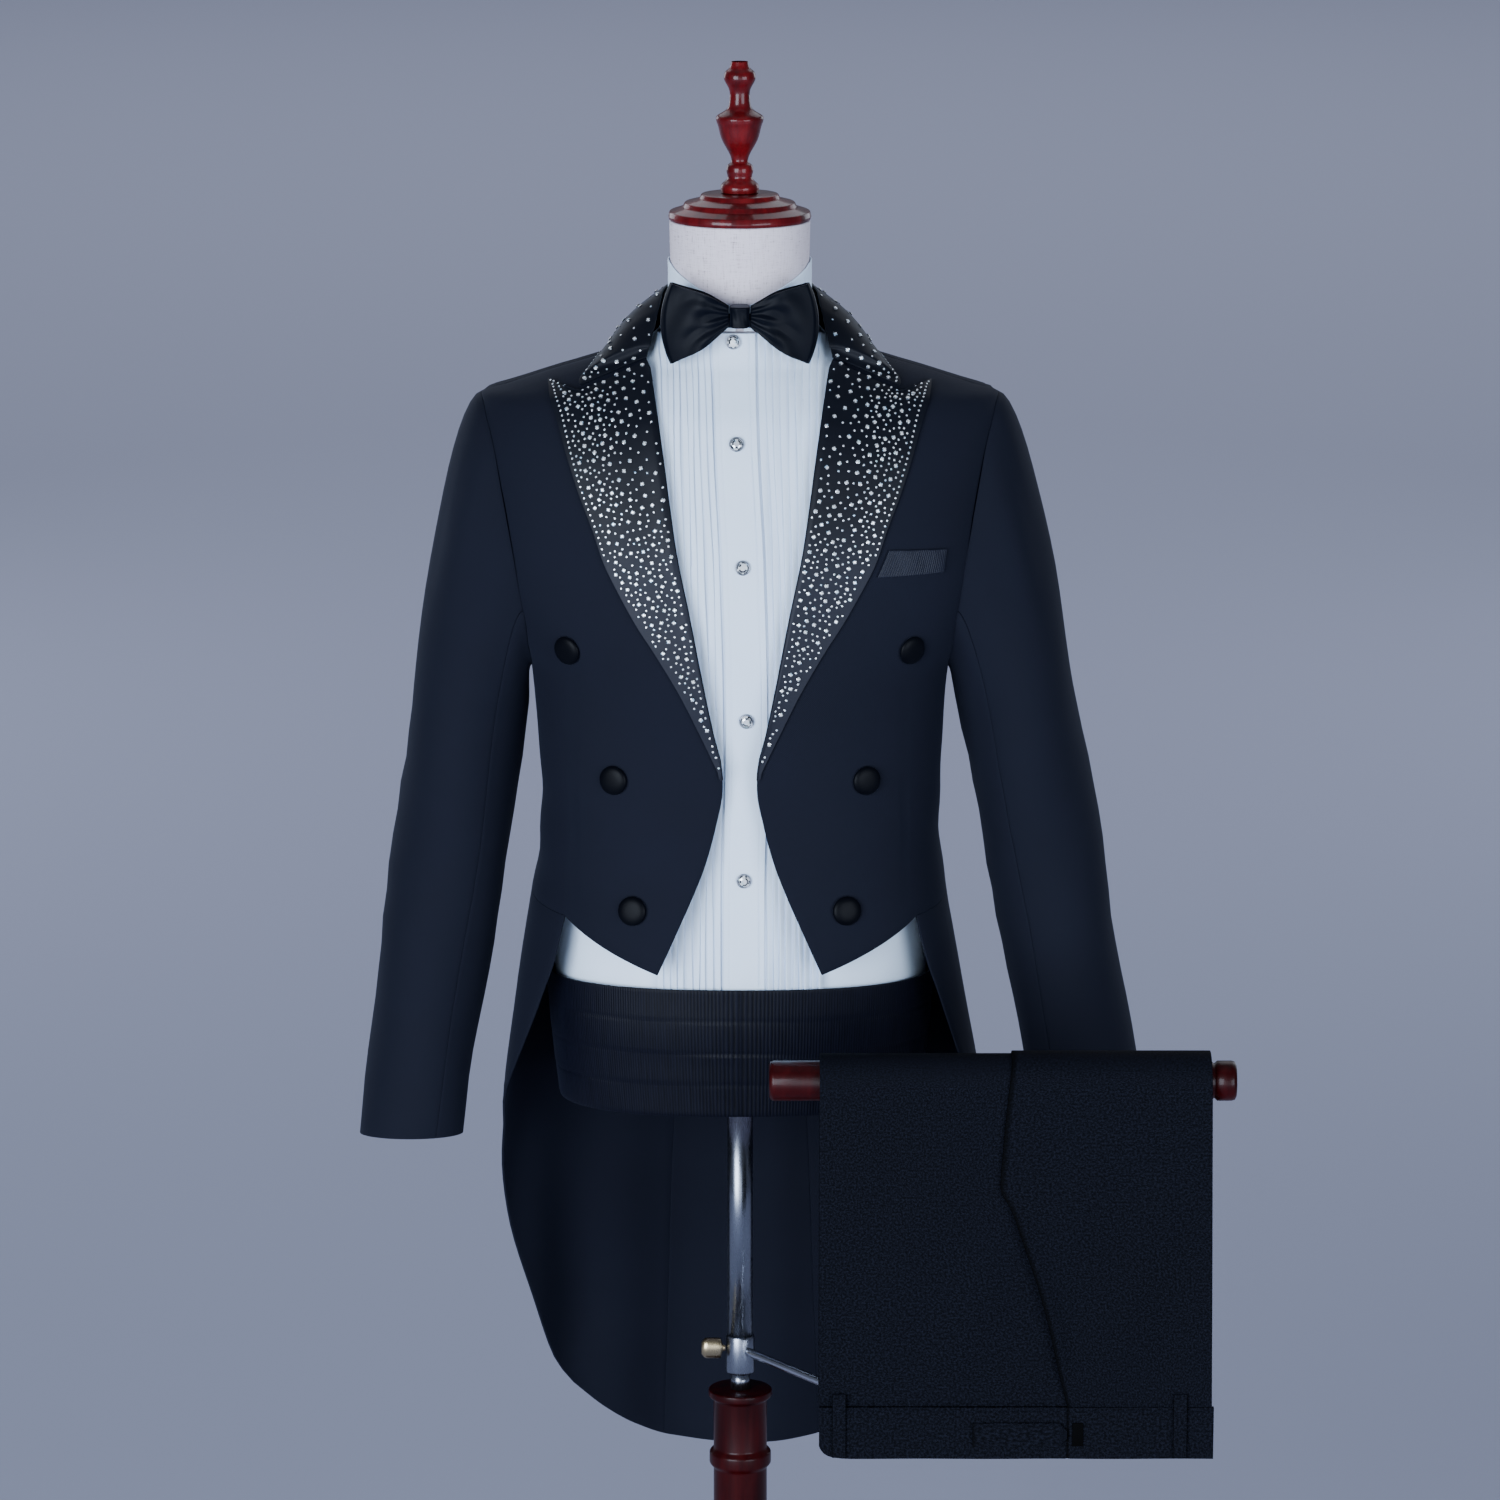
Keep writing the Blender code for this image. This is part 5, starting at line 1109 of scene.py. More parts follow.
def collar():
    """Satin collar fall round the back of the neck, from its outer edge up to the fold, with its stones"""
    fold_x, fold_y, fold_z, edge_turn, edge_height = (smooth(COLLAR_SECTIONS, column) for column in range(1, 6))
    lines = []
    rises = between(0, 1, COLLAR_ROWS)
    for share in between(-1, 1, COLLAR_COLUMNS):
        along = 1 - abs(share)
        fold = np.array((fold_x(along), fold_y(along), fold_z(along)))
        edge = coat(edge_turn(along), edge_height(along), COLLAR_OUT)
        outward = np.array((edge[0], edge[1], 0.04))
        outward /= np.linalg.norm(outward)
        free = [edge + (fold - edge) * rise + outward * COLLAR_BULGE * math.sin(math.pi * rise) for rise in rises]
        laid = []
        for rise in rises:
            reach, _, height = edge * (1 - rise) + fold * rise
            height = min(height, COLLAR_LAID_TOP)
            laid.append(coat(float(turn_of(coat, reach, height)), height, COLLAR_OUT - 0.0008))
        lift = eased(min(along / 0.16, 1.0))
        line = np.array(laid) * (1 - lift) + np.array(free) * lift
        lines.append(line * (math.copysign(1, -share), 1, 1))
    points = np.array(lines)
    cloth("coat_collar", points, SATIN, "satin", rests_on=("coat_collar_stand",), rim=0.0002)
    turned_points = points.transpose(1, 0, 2)[::-1]
    edges = [place for start, end in ((0.015, 0.11), (0.90, 0.985))
             for place in edge_places(turned_points, COLLAR_STONE_INSET, start, end)]
    set_stones("collar_stones", turned_points, collar_room, 5, edges)


def collar_stand():
    """Band between the neck edge of the coat and the fold of the collar"""
    lines = []
    for turn in between(84, 276, 72):
        angle = math.radians(turn)
        low = coat(turn, NECK_HEIGHT + 0.0012, -0.0002)
        radius = 0.0662 + 0.0050 * max(0.0, -math.cos(angle))
        high = np.array((radius * math.sin(angle), -radius * math.cos(angle), COLLAR_STAND_TOP))
        lines.append([low + (high - low) * share for share in between(0, 1, 8)])
    cloth("coat_collar_stand", np.array(lines), SATIN, "wool")


def button(name, side, reach, height):
    """Covered button: a crowned satin cap drawn in over a rim"""
    turn = turn_of(coat, reach, height)
    place = coat(turn, height, relief(side, np.array(turn), np.array(height)) + 0.0003)
    normal = coat(turn, height, 1.0) - coat(turn, height)
    if side == "left":
        place[0] *= -1
        normal[0] *= -1
    profile = [(radius * BUTTON_RADIUS, rise * BUTTON_RISE) for radius, rise in BUTTON_PROFILE]
    spun(name, profile, "button_satin", 48, place, normal)


def welt():
    """Welt of the breast pocket, on the +X forepart"""
    corners = [(float(turn_of(coat, reach, height)), height) for reach, height in WELT_CORNERS]
    upper_left, upper_right, lower_right, lower_left = (np.array(corner) for corner in corners)
    u, v = np.meshgrid(between(0, 1, 40), between(0, 1, 16), indexing="ij")
    low = lower_left + (lower_right - lower_left) * u[..., None]
    high = upper_left + (upper_right - upper_left) * u[..., None]
    stitched = hump(u, 0.965, 0.006) + hump(v, 0.10, 0.03)
    soft = 0.0003 * np.sin(u * 15 + 3 * v) * np.sin(v * math.pi)
    coat_panel("coat_breast_welt", "right", low + (high - low) * v[..., None], out=0.0026 - 0.0003 * stitched + soft,
               thickness=0.0016, finish="welt_silk", rests_on=("coat_front_right",), rim=0.0004)


# Shirt, bow tie, studs and sash

def shirt_rows(top):
    """Heights of a shirt panel's rows up to its top, close together near the shoulder"""
    rows = np.concatenate((SHIRT_LEVELS, top - (top - SHIRT_LEVELS[-1]) * np.array(SHIRT_TOP_STEPS)))
    return np.interp(between(0, len(rows) - 1, (len(rows) - 1) * FINE * 2), np.arange(len(rows)), rows)


def shirt_side_line(share, inner_reach, face):
    """Turns and heights of one column beside the pleats, up to the shoulder ridge"""
    ridge_reach = inner_reach + (SHIRT_SHOULDER - inner_reach) * share
    ridge_levels = np.linspace(1.395, 1.485, 91)
    top = float(np.interp(-ridge_reach, -torso.half_width(ridge_levels), ridge_levels))
    line = shirt_rows(top)
    ring = np.degrees(np.arccos(np.clip((line - ARMHOLE_CENTRE) / SHIRT_ARMHOLE_RADIUS, -1, 1)))
    limit = np.where(line < ARMHOLE_CENTRE - SHIRT_ARMHOLE_RADIUS, 90.0, smooth(ARMHOLE_TURNS, 1)(ring))
    inner_turn = turn_of(torso, inner_reach, line)
    low_turn = inner_turn + (limit - inner_turn) * share
    high_turn = np.minimum(turn_of(torso, ridge_reach, line), 90)
    turn = low_turn + (high_turn - low_turn) * eased(above(line, 1.29, 0.09))
    turn[-1] = 90
    return (turn if face == "front" else 180 - turn), line


def signed_turn(reach, height):
    """Turn on the form's front for a reach that may lie on either side of the middle"""
    return np.sign(reach) * turn_of(torso, np.abs(reach), height)


def shirt_front(side):
    """Shirt front with soft knife pleats beside the placket, with painted shade along the pleats' folded edges"""
    neck, drift = smooth(SHIRT_NECKLINE), smooth(PLACKET_DRIFT)
    toward = 1 if side == "right" else -1
    reaches, rises, creases = list(between(0.0015, PLEAT_START - 0.0010, 4)), [0.0] * 5, [0.0] * 5
    for count in range(PLEATS):
        for share, rise in PLEAT_SHAPE:
            reaches.append(PLEAT_START + PLEAT_WIDTH * (count + share))
            rises.append(rise * PLEAT_RISE)
            # Painted shade along each pleat's folded edges
            creases.append(0.52 * hump(min(share, 1 - share), 0.0, 0.075))
    lines, outs = [], []
    for reach, rise in zip(reaches, rises):
        heights = shirt_rows(float(neck(reach)))
        pleat = max(0, math.floor((reach - PLEAT_START) / PLEAT_WIDTH + 0.001))
        slip = min(1.0, (reaches[-1] - reach) / (reaches[-1] - PLEAT_START))
        shown = above(reach, PLEAT_START, PLEAT_WIDTH) * under(heights, 1.45, 0.05)
        lean = 0.0008 * np.sin(heights * 13 + pleat * 1.7 + toward) + 0.0004 * np.sin(heights * 41 + pleat * 2.9)
        lean = lean * shown
        lines.append((signed_turn(reach + lean + toward * slip * drift(heights), heights), heights))
        low = under(heights, 1.02, 0.06) * (0.9 if side == "right" else 0.3)
        outs.append(rise * (0.80 + 0.30 * np.sin(heights * 29 + pleat * 2.1 + toward) + low))
    lines += [shirt_side_line(share, reaches[-1], "front") for share in between(0, 1, 6 * FINE)[1:]]
    outs += [np.zeros(len(lines[0][1]))] * (6 * FINE)
    creases += [0.0] * (6 * FINE)
    turns, heights = stacked(lines)
    soft = 0.0005 * np.sin(heights * 26 + np.radians(turns) * 9 + toward)
    points = torso(turns, heights, SHIRT_OUT + np.array(outs) + soft)
    cloth(f"shirt_front_{side}", sided(side, points), SHIRT_CLOTH, "shirting", rim=0.0,
          creases=creases if side == "right" else creases[::-1])


def shirt_back():
    """Plain back of the shirt, under the coat"""
    half = [shirt_side_line(share, BACK_NECK_REACH, "back") for share in between(1, 0, 6 * FINE)]
    for share in between(1, 0, 3 * FINE)[1:-1]:
        heights = shirt_rows(BACK_NECK_LOW + 0.0060 * (1 - share))
        half.append((180 - turn_of(torso, BACK_NECK_REACH * share, heights), heights))
    middle = shirt_rows(BACK_NECK_TOP)
    lines = half + [(np.full(len(middle), 180.0), middle)] + [(360 - turn, line) for turn, line in reversed(half)]
    turns, heights = stacked(lines)
    cloth("shirt_back", torso(turns, heights, SHIRT_OUT), SHIRT_CLOTH, "shirting", rim=0.0)


def placket():
    """Strip down the middle of the shirt that carries the studs, with its stitching"""
    heights = np.maximum(shirt_rows(SHIRT_NECKLINE[0][1]), PLACKET_BOTTOM)
    drift = smooth(PLACKET_DRIFT)
    shares = between(-1, 1, 48)
    turns = np.array([signed_turn(drift(heights) + PLACKET_HALF * share, heights) for share in shares])
    levels = np.broadcast_to(heights, turns.shape)
    held_flat = sum(hump(levels, height, 0.020) for height, _ in STUDS)
    soft = 0.0005 * np.sin(levels * 31 + turns * 0.13) * (1 - np.clip(held_flat, 0, 1))
    seam = hump(np.abs(shares), PLACKET_SEAM, 0.035)
    out = SHIRT_OUT + PLACKET_OUT + soft - 0.0003 * seam[:, None]
    # Painted shade along the placket's edges and, lighter, along its stitched seam
    cloth("shirt_placket", torso(turns, levels, out), PLACKET_CLOTH, "shirting", rests_on=("shirt_front_left",),
          rim=0.0003, creases=0.30 * hump(np.abs(shares), 1.0, 0.03) + 0.10 * seam)
    places = []
    for height in np.arange(0.932, 1.470, 0.0028):
        turn = float(signed_turn(drift(height) + PLACKET_HALF * PLACKET_SEAM, height))
        places.append(torso(turn, height, SHIRT_OUT + PLACKET_OUT))
    stitches("placket_stitches", places)


def stitches(name, places):
    """Row of short raised threads between neighbouring places"""
    row = bmesh.new()
    for before, after in zip(places, places[1:]):
        middle, run = Vector((before + after) / 2), Vector(after - before).normalized()
        bmesh.ops.create_cone(row, cap_ends=True, segments=6, radius1=0.00024, radius2=0.00024, depth=0.0018,
                              matrix=Matrix.Translation(middle) @ facing(run))
    keep(name, finished(row, name), "shirting")


def shirt_collar():
    """Stand-up collar band, dipped at the front"""
    top = smooth(SHIRT_COLLAR_TOPS)
    lines = []
    for turn in between(3.0, 357.0, 120):
        levels = between(SHIRT_COLLAR_LOW, float(top(min(turn, 360 - turn))), 12)
        lines.append((np.full(len(levels), turn), levels))
    turns, heights = stacked(lines)
    cloth("shirt_collar", torso(turns, heights, 0.0021), PLACKET_CLOTH, "shirting", rim=0.0004)


def stud(name, height, gap):
    """Round cut stone in a bright rim"""
    turn = float(signed_turn(smooth(PLACKET_DRIFT)(height), height))
    place = torso(turn, height, SHIRT_OUT + PLACKET_OUT + gap)
    normal = torso(turn, height, 1.0) - torso(turn, height)
    profile = [(radius * STUD_RADIUS, rise * STUD_RISE) for radius, rise in STUD_PROFILE]
    spun(name, profile, "chrome", 40, place, normal)
    look = Vector(normal)
    gem = bmesh.new()
    painted_reflections = gem.loops.layers.uv.new("facet")
    levels = ((0.82, 0.0007), (0.80, 0.0016), (0.64, 0.0029), (0.40, 0.0036))
    for count, ((low, start), (high, end)) in enumerate(zip(levels, levels[1:])):
        lift = Matrix.Translation(Vector(place) + look * (start + end) / 2)
        bmesh.ops.create_cone(gem, cap_ends=True, segments=(16, 16, 8)[count], radius1=low * STUD_RADIUS,
                              radius2=high * STUD_RADIUS, depth=end - start,
                              matrix=lift @ facing(look) @ Matrix.Rotation(count * 0.2, 4, "Z"))
    chance = np.random.default_rng(round(height * 1000))
    # Painted reflections: large faces are painted light and small facets dark, grey or white at random
    for face in gem.faces:
        shade = 0.8 if face.calc_area() > 0.00001 else chance.choice((0.02, 0.12, 1.0))
        for loop in face.loops:
            loop[painted_reflections].uv = (shade, 0.0)
    keep(name + "_stone", finished(gem, name + "_stone"), "crystal", smooth_faces=False)


def bow_wing(side):
    """Looped wing of the bow tie, with pleats that fan out from the knot"""
    half_height = smooth(((0.0, 0.0082), (0.12, 0.0125), (0.45, 0.0230), (1.0, 0.0340)))
    leaf = list(between(0, 0.96, 36))
    turn_back = [(0.975, 0.25), (0.99, 0.36), (1.0, 0.5), (0.99, 0.64), (0.975, 0.75)]
    route = [(share, 0.0) for share in leaf] + turn_back + [(share, 1.0) for share in reversed(leaf)]
    lean = 0.0 if side == "right" else 1.4
    grid = []
    for share, depth in route:
        front = -0.0775 - 0.0050 * math.sin(math.pi * share) + 0.0090 * share ** 2
        rear = -0.0675 + 0.0030 * share + 0.0065 * share ** 2
        y = front + (rear - front) * depth
        centre = BOW_HEIGHT - 0.0070 * share
        line = []
        for level in between(-1, 1, 48):
            fold = (0.0030 * hump(share, 0.0, 0.42) * (0.25 + share) * math.cos(level * 10.5 + lean)
                    + 0.0012 * math.sin(share * 9 + level * 4 + lean) * share * (1 - share) * 4)
            fold *= 1.0 if depth < 0.5 else 0.3
            sag = 0.0014 * math.sin(level * 5 + share * 6 + lean) * share * (1 - share)
            x = 0.0091 + 0.0485 * share + 0.0080 * share ** 4 * (1 - level * level)
            line.append((x, y - max(fold, -0.0008) * (1 if depth < 0.5 else -1),
                         centre + float(half_height(share)) * level + sag))
        grid.append(line)
    cloth(f"bow_wing_{side}", sided(side, np.array(grid)), BOW_CLOTH, "bow_satin", held="folded",
          rests_on=("bow_knot",), rim=0.0003)


def bow_knot():
    """Knot between the wings, a short pleated tube of satin"""
    knot = tube(56, 15)
    for vert in knot.verts:
        x, y, z = vert.co
        angle = math.atan2(y, x)
        across, ahead = (math.copysign(abs(part) ** 0.7, part) for part in (math.cos(angle), math.sin(angle)))
        waist = 1 - 0.10 * (1 - z * z) + 0.03 * math.sin(angle * 7 + z * 2) * (1 - z ** 4)
        ends = 0.94 if abs(z) > 0.99 else 1.0
        half_width, half_depth, half_height = KNOT_HALVES
        vert.co = (half_width * across * ends * (0.93 + 0.07 * z * z), KNOT_Y + half_depth * ahead * waist * ends,
                   BOW_HEIGHT + half_height * z)
    piece = keep("bow_knot", finished(knot, "bow_knot"), "bow_satin", ("bow_knot",))
    ease(piece, 0.0009, 50)


def bow_band():
    """Band of the bow tie round the collar"""
    turns, heights = np.meshgrid(between(0, 360, 120)[:-1], between(*BAND_LEVELS, 8), indexing="ij")
    cloth("bow_band", torso(turns, heights, 0.0044), BOW_CLOTH, "bow_satin", rests_on=("shirt_collar",), ring=True,
          rim=0.0003)


def sash():
    """Pleated sash round the waist, over the shirt"""
    columns, steps = 240, 10
    lines, outs = [], []
    for turn in between(0, 360, columns)[:-1]:
        droop = SASH_DROOP * (0.5 - 0.5 * math.cos(math.radians(turn)))
        top, low = SASH_TOP - droop, SASH_LOW - droop
        pleat = (top - low) / SASH_PLEATS
        line, out = [], []
        for count in range(SASH_PLEATS):
            start = low + count * pleat
            waver = 0.0003 * math.sin(math.radians(turn) * 3 + count * 1.9)
            for share in between(0, 1, steps):
                line.append(start + waver + (pleat - SASH_PLEAT_GAP) * share)
                soft = 0.0001 * math.sin(share * 3 + turn * 0.08)
                out.append(0.0106 - 0.0003 * share - 0.0005 * hump(share, 0.0, 0.05) + soft)
        line[0], line[-1] = low, top
        lines.append((np.full(len(line), turn), line))
        outs.append(out)
    turns, heights = stacked(lines)
    cloth("sash", torso(turns, heights, np.array(outs)), SATIN, "ribbed_silk", rests_on=("shirt_front_left",),
          ring=True, rim=0.0004)


# Trousers over the rod

def drape(level, rear_spread, low_front, low_rear, front_rows=48):
    """Points (y, z) from the front hem over the rod and down behind, at a distance from the rod's axis"""
    _, rod_y, rod_z = ROD_CENTRE
    points = [(rod_y - level, z) for z in between(low_front, rod_z, front_rows)]
    for angle in between(180, 0, 24)[1:]:
        bend = math.radians(angle)
        points.append((rod_y + level * math.cos(bend), rod_z + level * math.sin(bend)))
    for share in between(0, 1, 24)[1:]:
        points.append((rod_y + level + rear_spread * eased(share), rod_z + (low_rear - rod_z) * share))
    return np.array(points)


def trouser_leaf(name, level, low_rear, edges, lean, curl=0.0):
    """One leaf of the trousers, out from the rod by its level, with soft waves; its free first edge may curl out,
    with a painted shadow along it
    """
    path = drape(level, TROUSER_SPREAD, BAND_TOP + SEAM, low_rear)
    run = np.gradient(path, axis=0)
    normal = np.stack((-run[:, 1], run[:, 0]), axis=1)
    normal /= np.linalg.norm(normal, axis=1, keepdims=True)
    lines = []
    for share in between(0, 1, 60):
        line = []
        for (y, z), (out_y, out_z) in zip(path, normal):
            front = y < ROD_CENTRE[1]
            start, end = edges(z if front else 0.93)
            x = start + (end - start) * share
            hang = under(z, ROD_CENTRE[2], 0.08) * above(z, BAND_TOP, 0.05)
            wave = 0.0009 + 0.0007 * math.sin(x * 37 + z * 11 + lean) + 0.0005 * math.sin(x * 88 - z * 31 + lean)
            if front:
                wave += curl * hump(share, 0.0, 0.09) * under(z, 0.815, 0.04)
            wave *= hang
            line.append((x, y + out_y * wave, z + out_z * wave))
        lines.append(line)
    # Painted shadow along the curled edge where the right leaf laps over the left one
    creases = [0.95, 0.6] + [0.0] * 59 if curl else None
    cloth(name, np.array(lines), TROUSER_CLOTH, "trouser_wool", held="folded", rests_on=("trouser_rod",), rim=0.0006,
          creases=creases)


def trousers():
    """Two leaves, the folded legs between them and the waistband"""
    seam = smooth(TROUSER_SEAM)

    def left_edges(height):
        return TROUSER_LEFT, float(seam(height)) + 0.018

    def right_edges(height):
        return float(seam(height)), TROUSER_RIGHT + 0.004 * max(0.0, 0.92 - height) / 0.3

    trouser_leaf("trouser_half_left", LEFT_LEAF_LEVEL + TROUSER_CLOTH, LEFT_LEAF_HEM, left_edges, 0.4)
    trouser_leaf("trouser_half_right", RIGHT_LEAF_LEVEL + TROUSER_CLOTH, RIGHT_LEAF_HEM, right_edges, 2.1, 0.0048)
    folded_legs()
    waistband()


def folded_legs():
    """Folded layers under the leaves as one block, grooved between the layers at its side edges"""
    inner = drape(ROD_RADIUS + 0.0006, 0.0, FOLDED_FRONT_HEM, FOLDED_REAR_HEM, 40)
    outer = drape(LEFT_LEAF_LEVEL - SEAM, TROUSER_SPREAD, FOLDED_FRONT_HEM, FOLDED_REAR_HEM, 40)
    depths = between(0, 1, 16)
    side_in = [0.0026 * abs(math.sin(depth * math.pi * 3)) ** 0.5 for depth in depths]
    outline = [(TROUSER_LEFT + 0.0066 - bulge, depth) for depth, bulge in zip(depths, side_in)]
    outline += [(TROUSER_RIGHT - 0.0086 + bulge, depth) for depth, bulge in zip(reversed(depths), reversed(side_in))]
    block = bmesh.new()
    bmesh.ops.create_circle(block, cap_ends=True, segments=len(outline), radius=1.0)
    ring = sorted(block.verts, key=lambda vert: math.atan2(vert.co.y, vert.co.x))
    face = block.faces[:]
    for vert, (x, depth) in zip(ring, outline):
        y, z = inner[0] + (outer[0] - inner[0]) * depth
        vert.co = (x, y, z)
    for low, high in zip(inner[1:], outer[1:]):
        made = bmesh.ops.extrude_face_region(block, geom=face)["geom"]
        if len(block.faces) > 2 + 2 * len(outline):
            bmesh.ops.delete(block, geom=face, context="FACES_ONLY")
        ring = [item for item in made if isinstance(item, bmesh.types.BMVert)]
        face = [item for item in made if isinstance(item, bmesh.types.BMFace)]
        for vert, (x, depth) in zip(ring, outline):
            y, z = low + (high - low) * depth
            vert.co = (x, y, z)
    bmesh.ops.recalc_face_normals(block, faces=block.faces)
    name = "trouser_folded_legs"
    piece = keep(name, finished(block, name), "trouser_wool", (name,))


def flat_cloth(name, low, high, front, thickness, columns, rows, relief_of=None, **how):
    """Upright strip between two edges of (x, z) points, its face at a distance in front"""
    low, high = np.array(low), np.array(high)
    spots = between(0, len(low) - 1, columns)
    edge = [np.stack([np.interp(spots, np.arange(len(line)), line[:, part]) for part in (0, 1)], axis=1)
            for line in (low, high)]
    rise = between(0, 1, rows)[None, :, None]
    flat = edge[0][:, None] * (1 - rise) + edge[1][:, None] * rise
    y = np.full(flat.shape[:2], front)
    if relief_of:
        y = y - relief_of(flat[..., 0], flat[..., 1])
    cloth(name, np.stack((flat[..., 0], y, flat[..., 1]), axis=-1), thickness, "trouser_wool", **how)


def band_relief(x, z):
    """Seam under the waistband's top edge, the end of its lap and faint waves"""
    seams = -0.0012 * hump(x, BAND_LAP, 0.0010) - 0.0009 * hump(z, BAND_TOP - 0.0045, 0.0008)
    return seams + 0.0004 * np.sin(x * 60 + z * 25)


def tab_relief(x, z):
    """Stitching inside the tab's edge"""
    inset = np.minimum(np.minimum(x - TAB_LEFT, TAB_RIGHT - x), np.minimum(z - TAB_LOW, TAB_HIGH - z))
    return -0.0004 * hump(inset, 0.0028, 0.0006)


def waistband():
    """Waistband across the bottom, its two belt loops and the closure tab"""
    face = ROD_CENTRE[1] - RIGHT_LEAF_LEVEL - TROUSER_CLOTH
    reach = TROUSER_RIGHT + 0.0055 - TROUSER_LEFT
    across = between(0, 1, 330)
    spots = TROUSER_LEFT + reach * across
    low = [(x, TROUSER_BOTTOM + lift) for x, lift in zip(spots, np.interp(across, *zip(*BAND_CORNER)))]
    high = [(x, BAND_TOP) for x in spots]
    # Painted shade at the end of the band's lap
    flat_cloth("trouser_waistband", low, high, face, 0.0040, 330, 36, band_relief, held="folded",
               rests_on=("trouser_half_left",), rim=0.0010, creases=0.85 * hump(spots, BAND_LAP, 0.0011))
    on_band = {"held": "folded", "rests_on": ("trouser_waistband",)}
    front = face - 0.0007 - SMALL_CLOTH
    for count, x in enumerate(LOOP_PLACES, 1):
        low, high = ([(x - LOOP_HALF, height), (x + LOOP_HALF, height)] for height in LOOP_HEIGHTS)
        # Painted shade along both side edges of each loop
        flat_cloth(f"trouser_loop_{count}", low, high, front, SMALL_CLOTH, 12, 48, creases=(0.9, *[0.0] * 11, 0.9),
                   **on_band)
    low = [(TAB_LEFT, TAB_LOW), (TAB_SHOULDER, TAB_LOW), (TAB_RIGHT, 0.6000)]
    high = [(TAB_LEFT, TAB_HIGH), (TAB_SHOULDER, TAB_HIGH), (TAB_RIGHT, 0.6060)]
    # Painted shade along the tab's left and right ends
    flat_cloth("trouser_tab", low, high, front, SMALL_CLOTH, 96, 32, tab_relief,
               creases=(0.9, 0.5, *[0.0] * 93, 0.5, 0.9), **on_band)
    tab_keeper(face)


def tab_keeper(face):
    """Small dark keeper beside the end of the tab"""
    form = bmesh.new()
    place = Matrix.Translation((KEEPER_PLACE[0], face - 0.0004, KEEPER_PLACE[1]))
    bmesh.ops.create_cube(form, size=1.0, matrix=place @ Matrix.Diagonal((*KEEPER_SIZE, 1.0)))
    bmesh.ops.bevel(form, geom=form.edges[:], offset=0.0005, segments=2, profile=0.5, affect="EDGES", material=-1)
    # The keeper is made near black through the same attribute that carries painted shade on the other pieces
    black = form.verts.layers.float.new("painted_shade_and_black")
    for vert in form.verts:
        vert[black] = 0.95
    keep("trouser_keeper", finished(form, "trouser_keeper"), "trouser_wool")


# Dress form and stand

def form_body():
    """Linen-covered limbless torso with its neck"""
    trunk = shirt_rows(SHIRT_NECKLINE[0][1])
    heights = np.concatenate(([FORM_BOTTOM], trunk, np.linspace(1.480, FORM_TOP, 24)))
    form = tube(96, len(heights) - 2)
    for vert in form.verts:
        turn = math.degrees(math.atan2(vert.co.x, -vert.co.y))
        spot = round((vert.co.z + 1) / 2 * (len(heights) - 1))
        height = heights[spot]
        inset = FORM_INSET * above(height, FORM_SHOWN_LOW, 0.02) * under(height, FORM_SHOWN_HIGH, 0.01)
        vert.co = torso(turn, height, -inset)
    piece = keep("form_body", finished(form, "form_body"), "linen", ("form_body",))
    ease(piece, 0.0012, 50)


def bent_arm():
    """Bent steel arm from the clamp out to the middle of the rod"""
    rod_x, rod_y, rod_z = ROD_CENTRE
    along = np.array((rod_x, rod_y, 0.0)) / math.hypot(rod_x, rod_y)
    corner = np.array((rod_x, rod_y, ARM_HEIGHT))
    bend = 0.020
    before, after = corner - along * bend, corner + np.array((0, 0, bend))
    route = [along * KNOB_START + np.array((0, 0, ARM_HEIGHT))]
    route += [before * (1 - t) ** 2 + 2 * corner * t * (1 - t) + after * t * t for t in between(0, 1, 16)]
    route.append(np.array((rod_x, rod_y, rod_z - ROD_RADIUS - 0.0004)))
    curve = bpy.data.curves.new("stand_arm", "CURVE")
    curve.dimensions, curve.bevel_depth, curve.bevel_resolution, curve.use_fill_caps = "3D", ARM_RADIUS, 8, True
    spline = curve.splines.new("POLY")
    spline.points.add(len(route) - 1)
    for spot, point in zip(spline.points, route):
        spot.co = (*point, 1.0)
    shape = bpy.data.objects.new("arm_shape", curve)
    mesh = bpy.data.meshes.new_from_object(shape)
    bpy.data.objects.remove(shape)
    keep("stand_arm", mesh, "bright_steel", ("stand_arm",))


def knob():
    """Flat oval thumb knob on the side of the clamp"""
    form = tube(40, 9)
    sizes = smooth(((0.0129, 0.30), (0.0150, 0.30), (0.0165, 0.97), (0.0190, 1.0), (0.0300, 1.0), (0.0335, 0.6)))
    for vert in form.verts:
        reach = KNOB_START + (vert.co.z + 1) / 2 * KNOB_LENGTH
        size = float(sizes(reach))
        vert.co = (-reach, -0.004 + 0.0055 * size * vert.co.x, 0.5790 + 0.0092 * size * vert.co.y)
    bmesh.ops.recalc_face_normals(form, faces=form.faces)
    ease(keep("stand_knob", finished(form, "stand_knob"), "brass", ("stand_knob",)), 0.0008, 40)


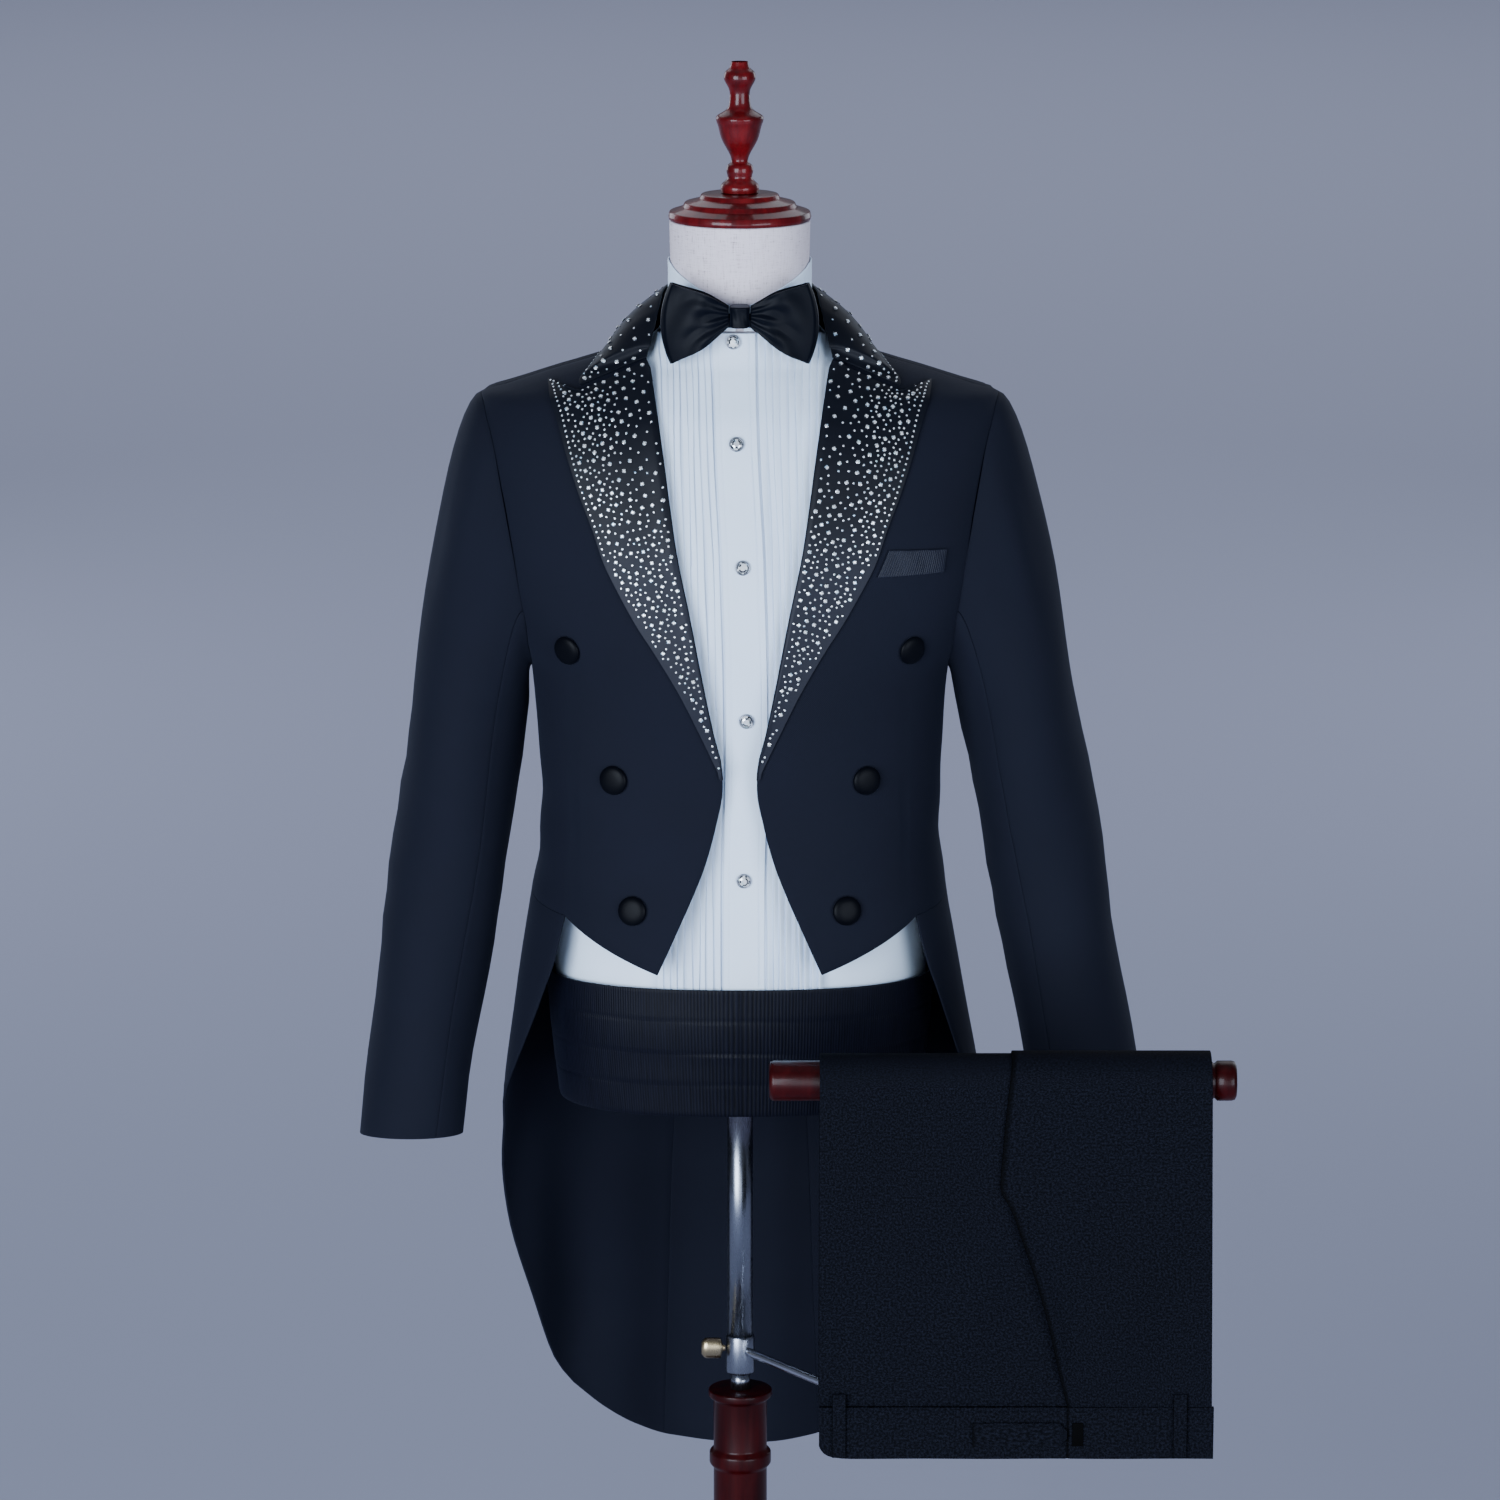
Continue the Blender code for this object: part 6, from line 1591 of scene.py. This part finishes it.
def stand():
    """Dress form on its stand, with the rod for the trousers"""
    form_body()
    turned = (
        # name, profile, finish, easing
        ("form_cap", CAP_PROFILE, "wood", 0.0009),
        ("stand_base", BASE_PROFILE, "dark_wood", 0.0020),
        ("stand_post", POST_PROFILE, "dark_wood", 0.0012),
        ("stand_lower_rod", LOWER_ROD_PROFILE, "chrome", 0.0),
        ("stand_clamp", CLAMP_PROFILE, "chrome", 0.0004),
        ("stand_pole", POLE_PROFILE, "chrome", 0.0),
    )
    for name, profile, finish, easing in turned:
        spun(name, profile, finish, 72, rounding=easing)
    spun("form_finial", round_profile(FINIAL_PROFILE[1:-1]), "wood", 56)
    knob()
    bent_arm()
    half, radius = ROD_LENGTH / 2, ROD_RADIUS
    profile = [(0.0, -half), (radius * 0.80, -half), (radius * 0.95, -half + 0.0012), (radius, -half + 0.004),
               (radius, half - 0.0205), (radius * 0.88, half - 0.0185), (radius * 0.88, half - 0.0175),
               (radius, half - 0.0155), (radius, half - 0.004), (radius * 0.95, half - 0.0012), (radius * 0.80, half),
               (0.0, half)]
    spun("trouser_rod", profile, "dark_wood", 64, ROD_CENTRE, (1.0, 0.0, 0.0))


# Floor, light and camera

def studio():
    """Plain pale floor, soft lights and the camera at the photograph's angle"""
    floor = bmesh.new()
    bmesh.ops.create_grid(floor, x_segments=1, y_segments=1, size=FLOOR_SIZE)
    mesh = finished(floor, "floor")
    pale = Finish("pale_floor", Base_Color=(0.335, 0.350, 0.455, 1.0), Roughness=0.95, Specular_IOR_Level=0.0)
    mesh.materials.append(pale.material)
    ground = bpy.data.objects.new("floor", mesh)
    bpy.context.scene.collection.objects.link(ground)
    lights = (
        # name, place, aim, width, power, colour
        ("key_light", (-2.6, -4.6, 1.6), (0.0, 0.0, 1.15), 3.0, 440.0, (0.76, 0.86, 1.0)),
        ("fill_light", (3.0, -4.3, 1.1), (0.0, 0.0, 1.1), 3.0, 250.0, (0.75, 0.85, 1.0)),
        ("low_light", (0.0, -4.6, 0.7), (0.0, 0.0, 1.0), 2.2, 35.0, (0.76, 0.86, 1.0)),
        ("top_light", (0.0, -0.6, 4.4), (0.0, 0.0, 1.2), 2.4, 5.0, (0.80, 0.88, 1.0)),
        ("rear_left_light", (-4.0, 5.4, 2.3), (0.0, 0.0, 1.0), 3.0, 90.0, (0.80, 0.88, 1.0)),
        ("rear_right_light", (4.0, 5.4, 2.3), (0.0, 0.0, 1.0), 3.0, 70.0, (0.80, 0.88, 1.0)),
        ("backdrop_light", (0.0, 13.0, 9.0), (0.0, 13.0, 0.0), 16.0, 1150.0, (0.88, 0.92, 1.0)),
    )
    for name, place, aim, width, power, colour in lights:
        lamp = bpy.data.lights.new(name, "AREA")
        lamp.size, lamp.energy, lamp.color = width, power, colour
        light = bpy.data.objects.new(name, lamp)
        light.location = place
        light.rotation_euler = (Vector(aim) - Vector(place)).to_track_quat("-Z", "Y").to_euler()
        bpy.context.scene.collection.objects.link(light)
    world = bpy.data.worlds.new("soft_room")
    world.use_nodes = True
    background = world.node_tree.nodes["Background"].inputs
    background["Color"].default_value, background["Strength"].default_value = (0.50, 0.57, 0.75, 1.0), 0.24
    bpy.context.scene.world = world
    lens = bpy.data.cameras.new("camera")
    lens.lens, lens.sensor_width = CAMERA_LENS, SENSOR_WIDTH
    camera = bpy.data.objects.new("camera", lens)
    camera.location = CAMERA_PLACE
    camera.rotation_euler = (math.radians(90 - CAMERA_PITCH), 0.0, 0.0)
    bpy.context.scene.collection.objects.link(camera)
    bpy.context.scene.camera = camera


stand()
for side in ("left", "right"):
    shirt_front(side)
    bow_wing(side)
    forepart(side)
    side_body(side)
    back_panel(side)
    skirt(side)
    sleeve(side)
    lapel(side)
    for count, (reach, height) in enumerate(BUTTONS, 1):
        button(f"coat_button_{side}_{count}", side, reach, height)
shirt_back()
placket()
shirt_collar()
for count, (height, gap) in enumerate(STUDS, 1):
    stud(f"stud_{count}", height, gap)
bow_knot()
bow_band()
sash()
collar()
collar_stand()
welt()
trousers()
studio()
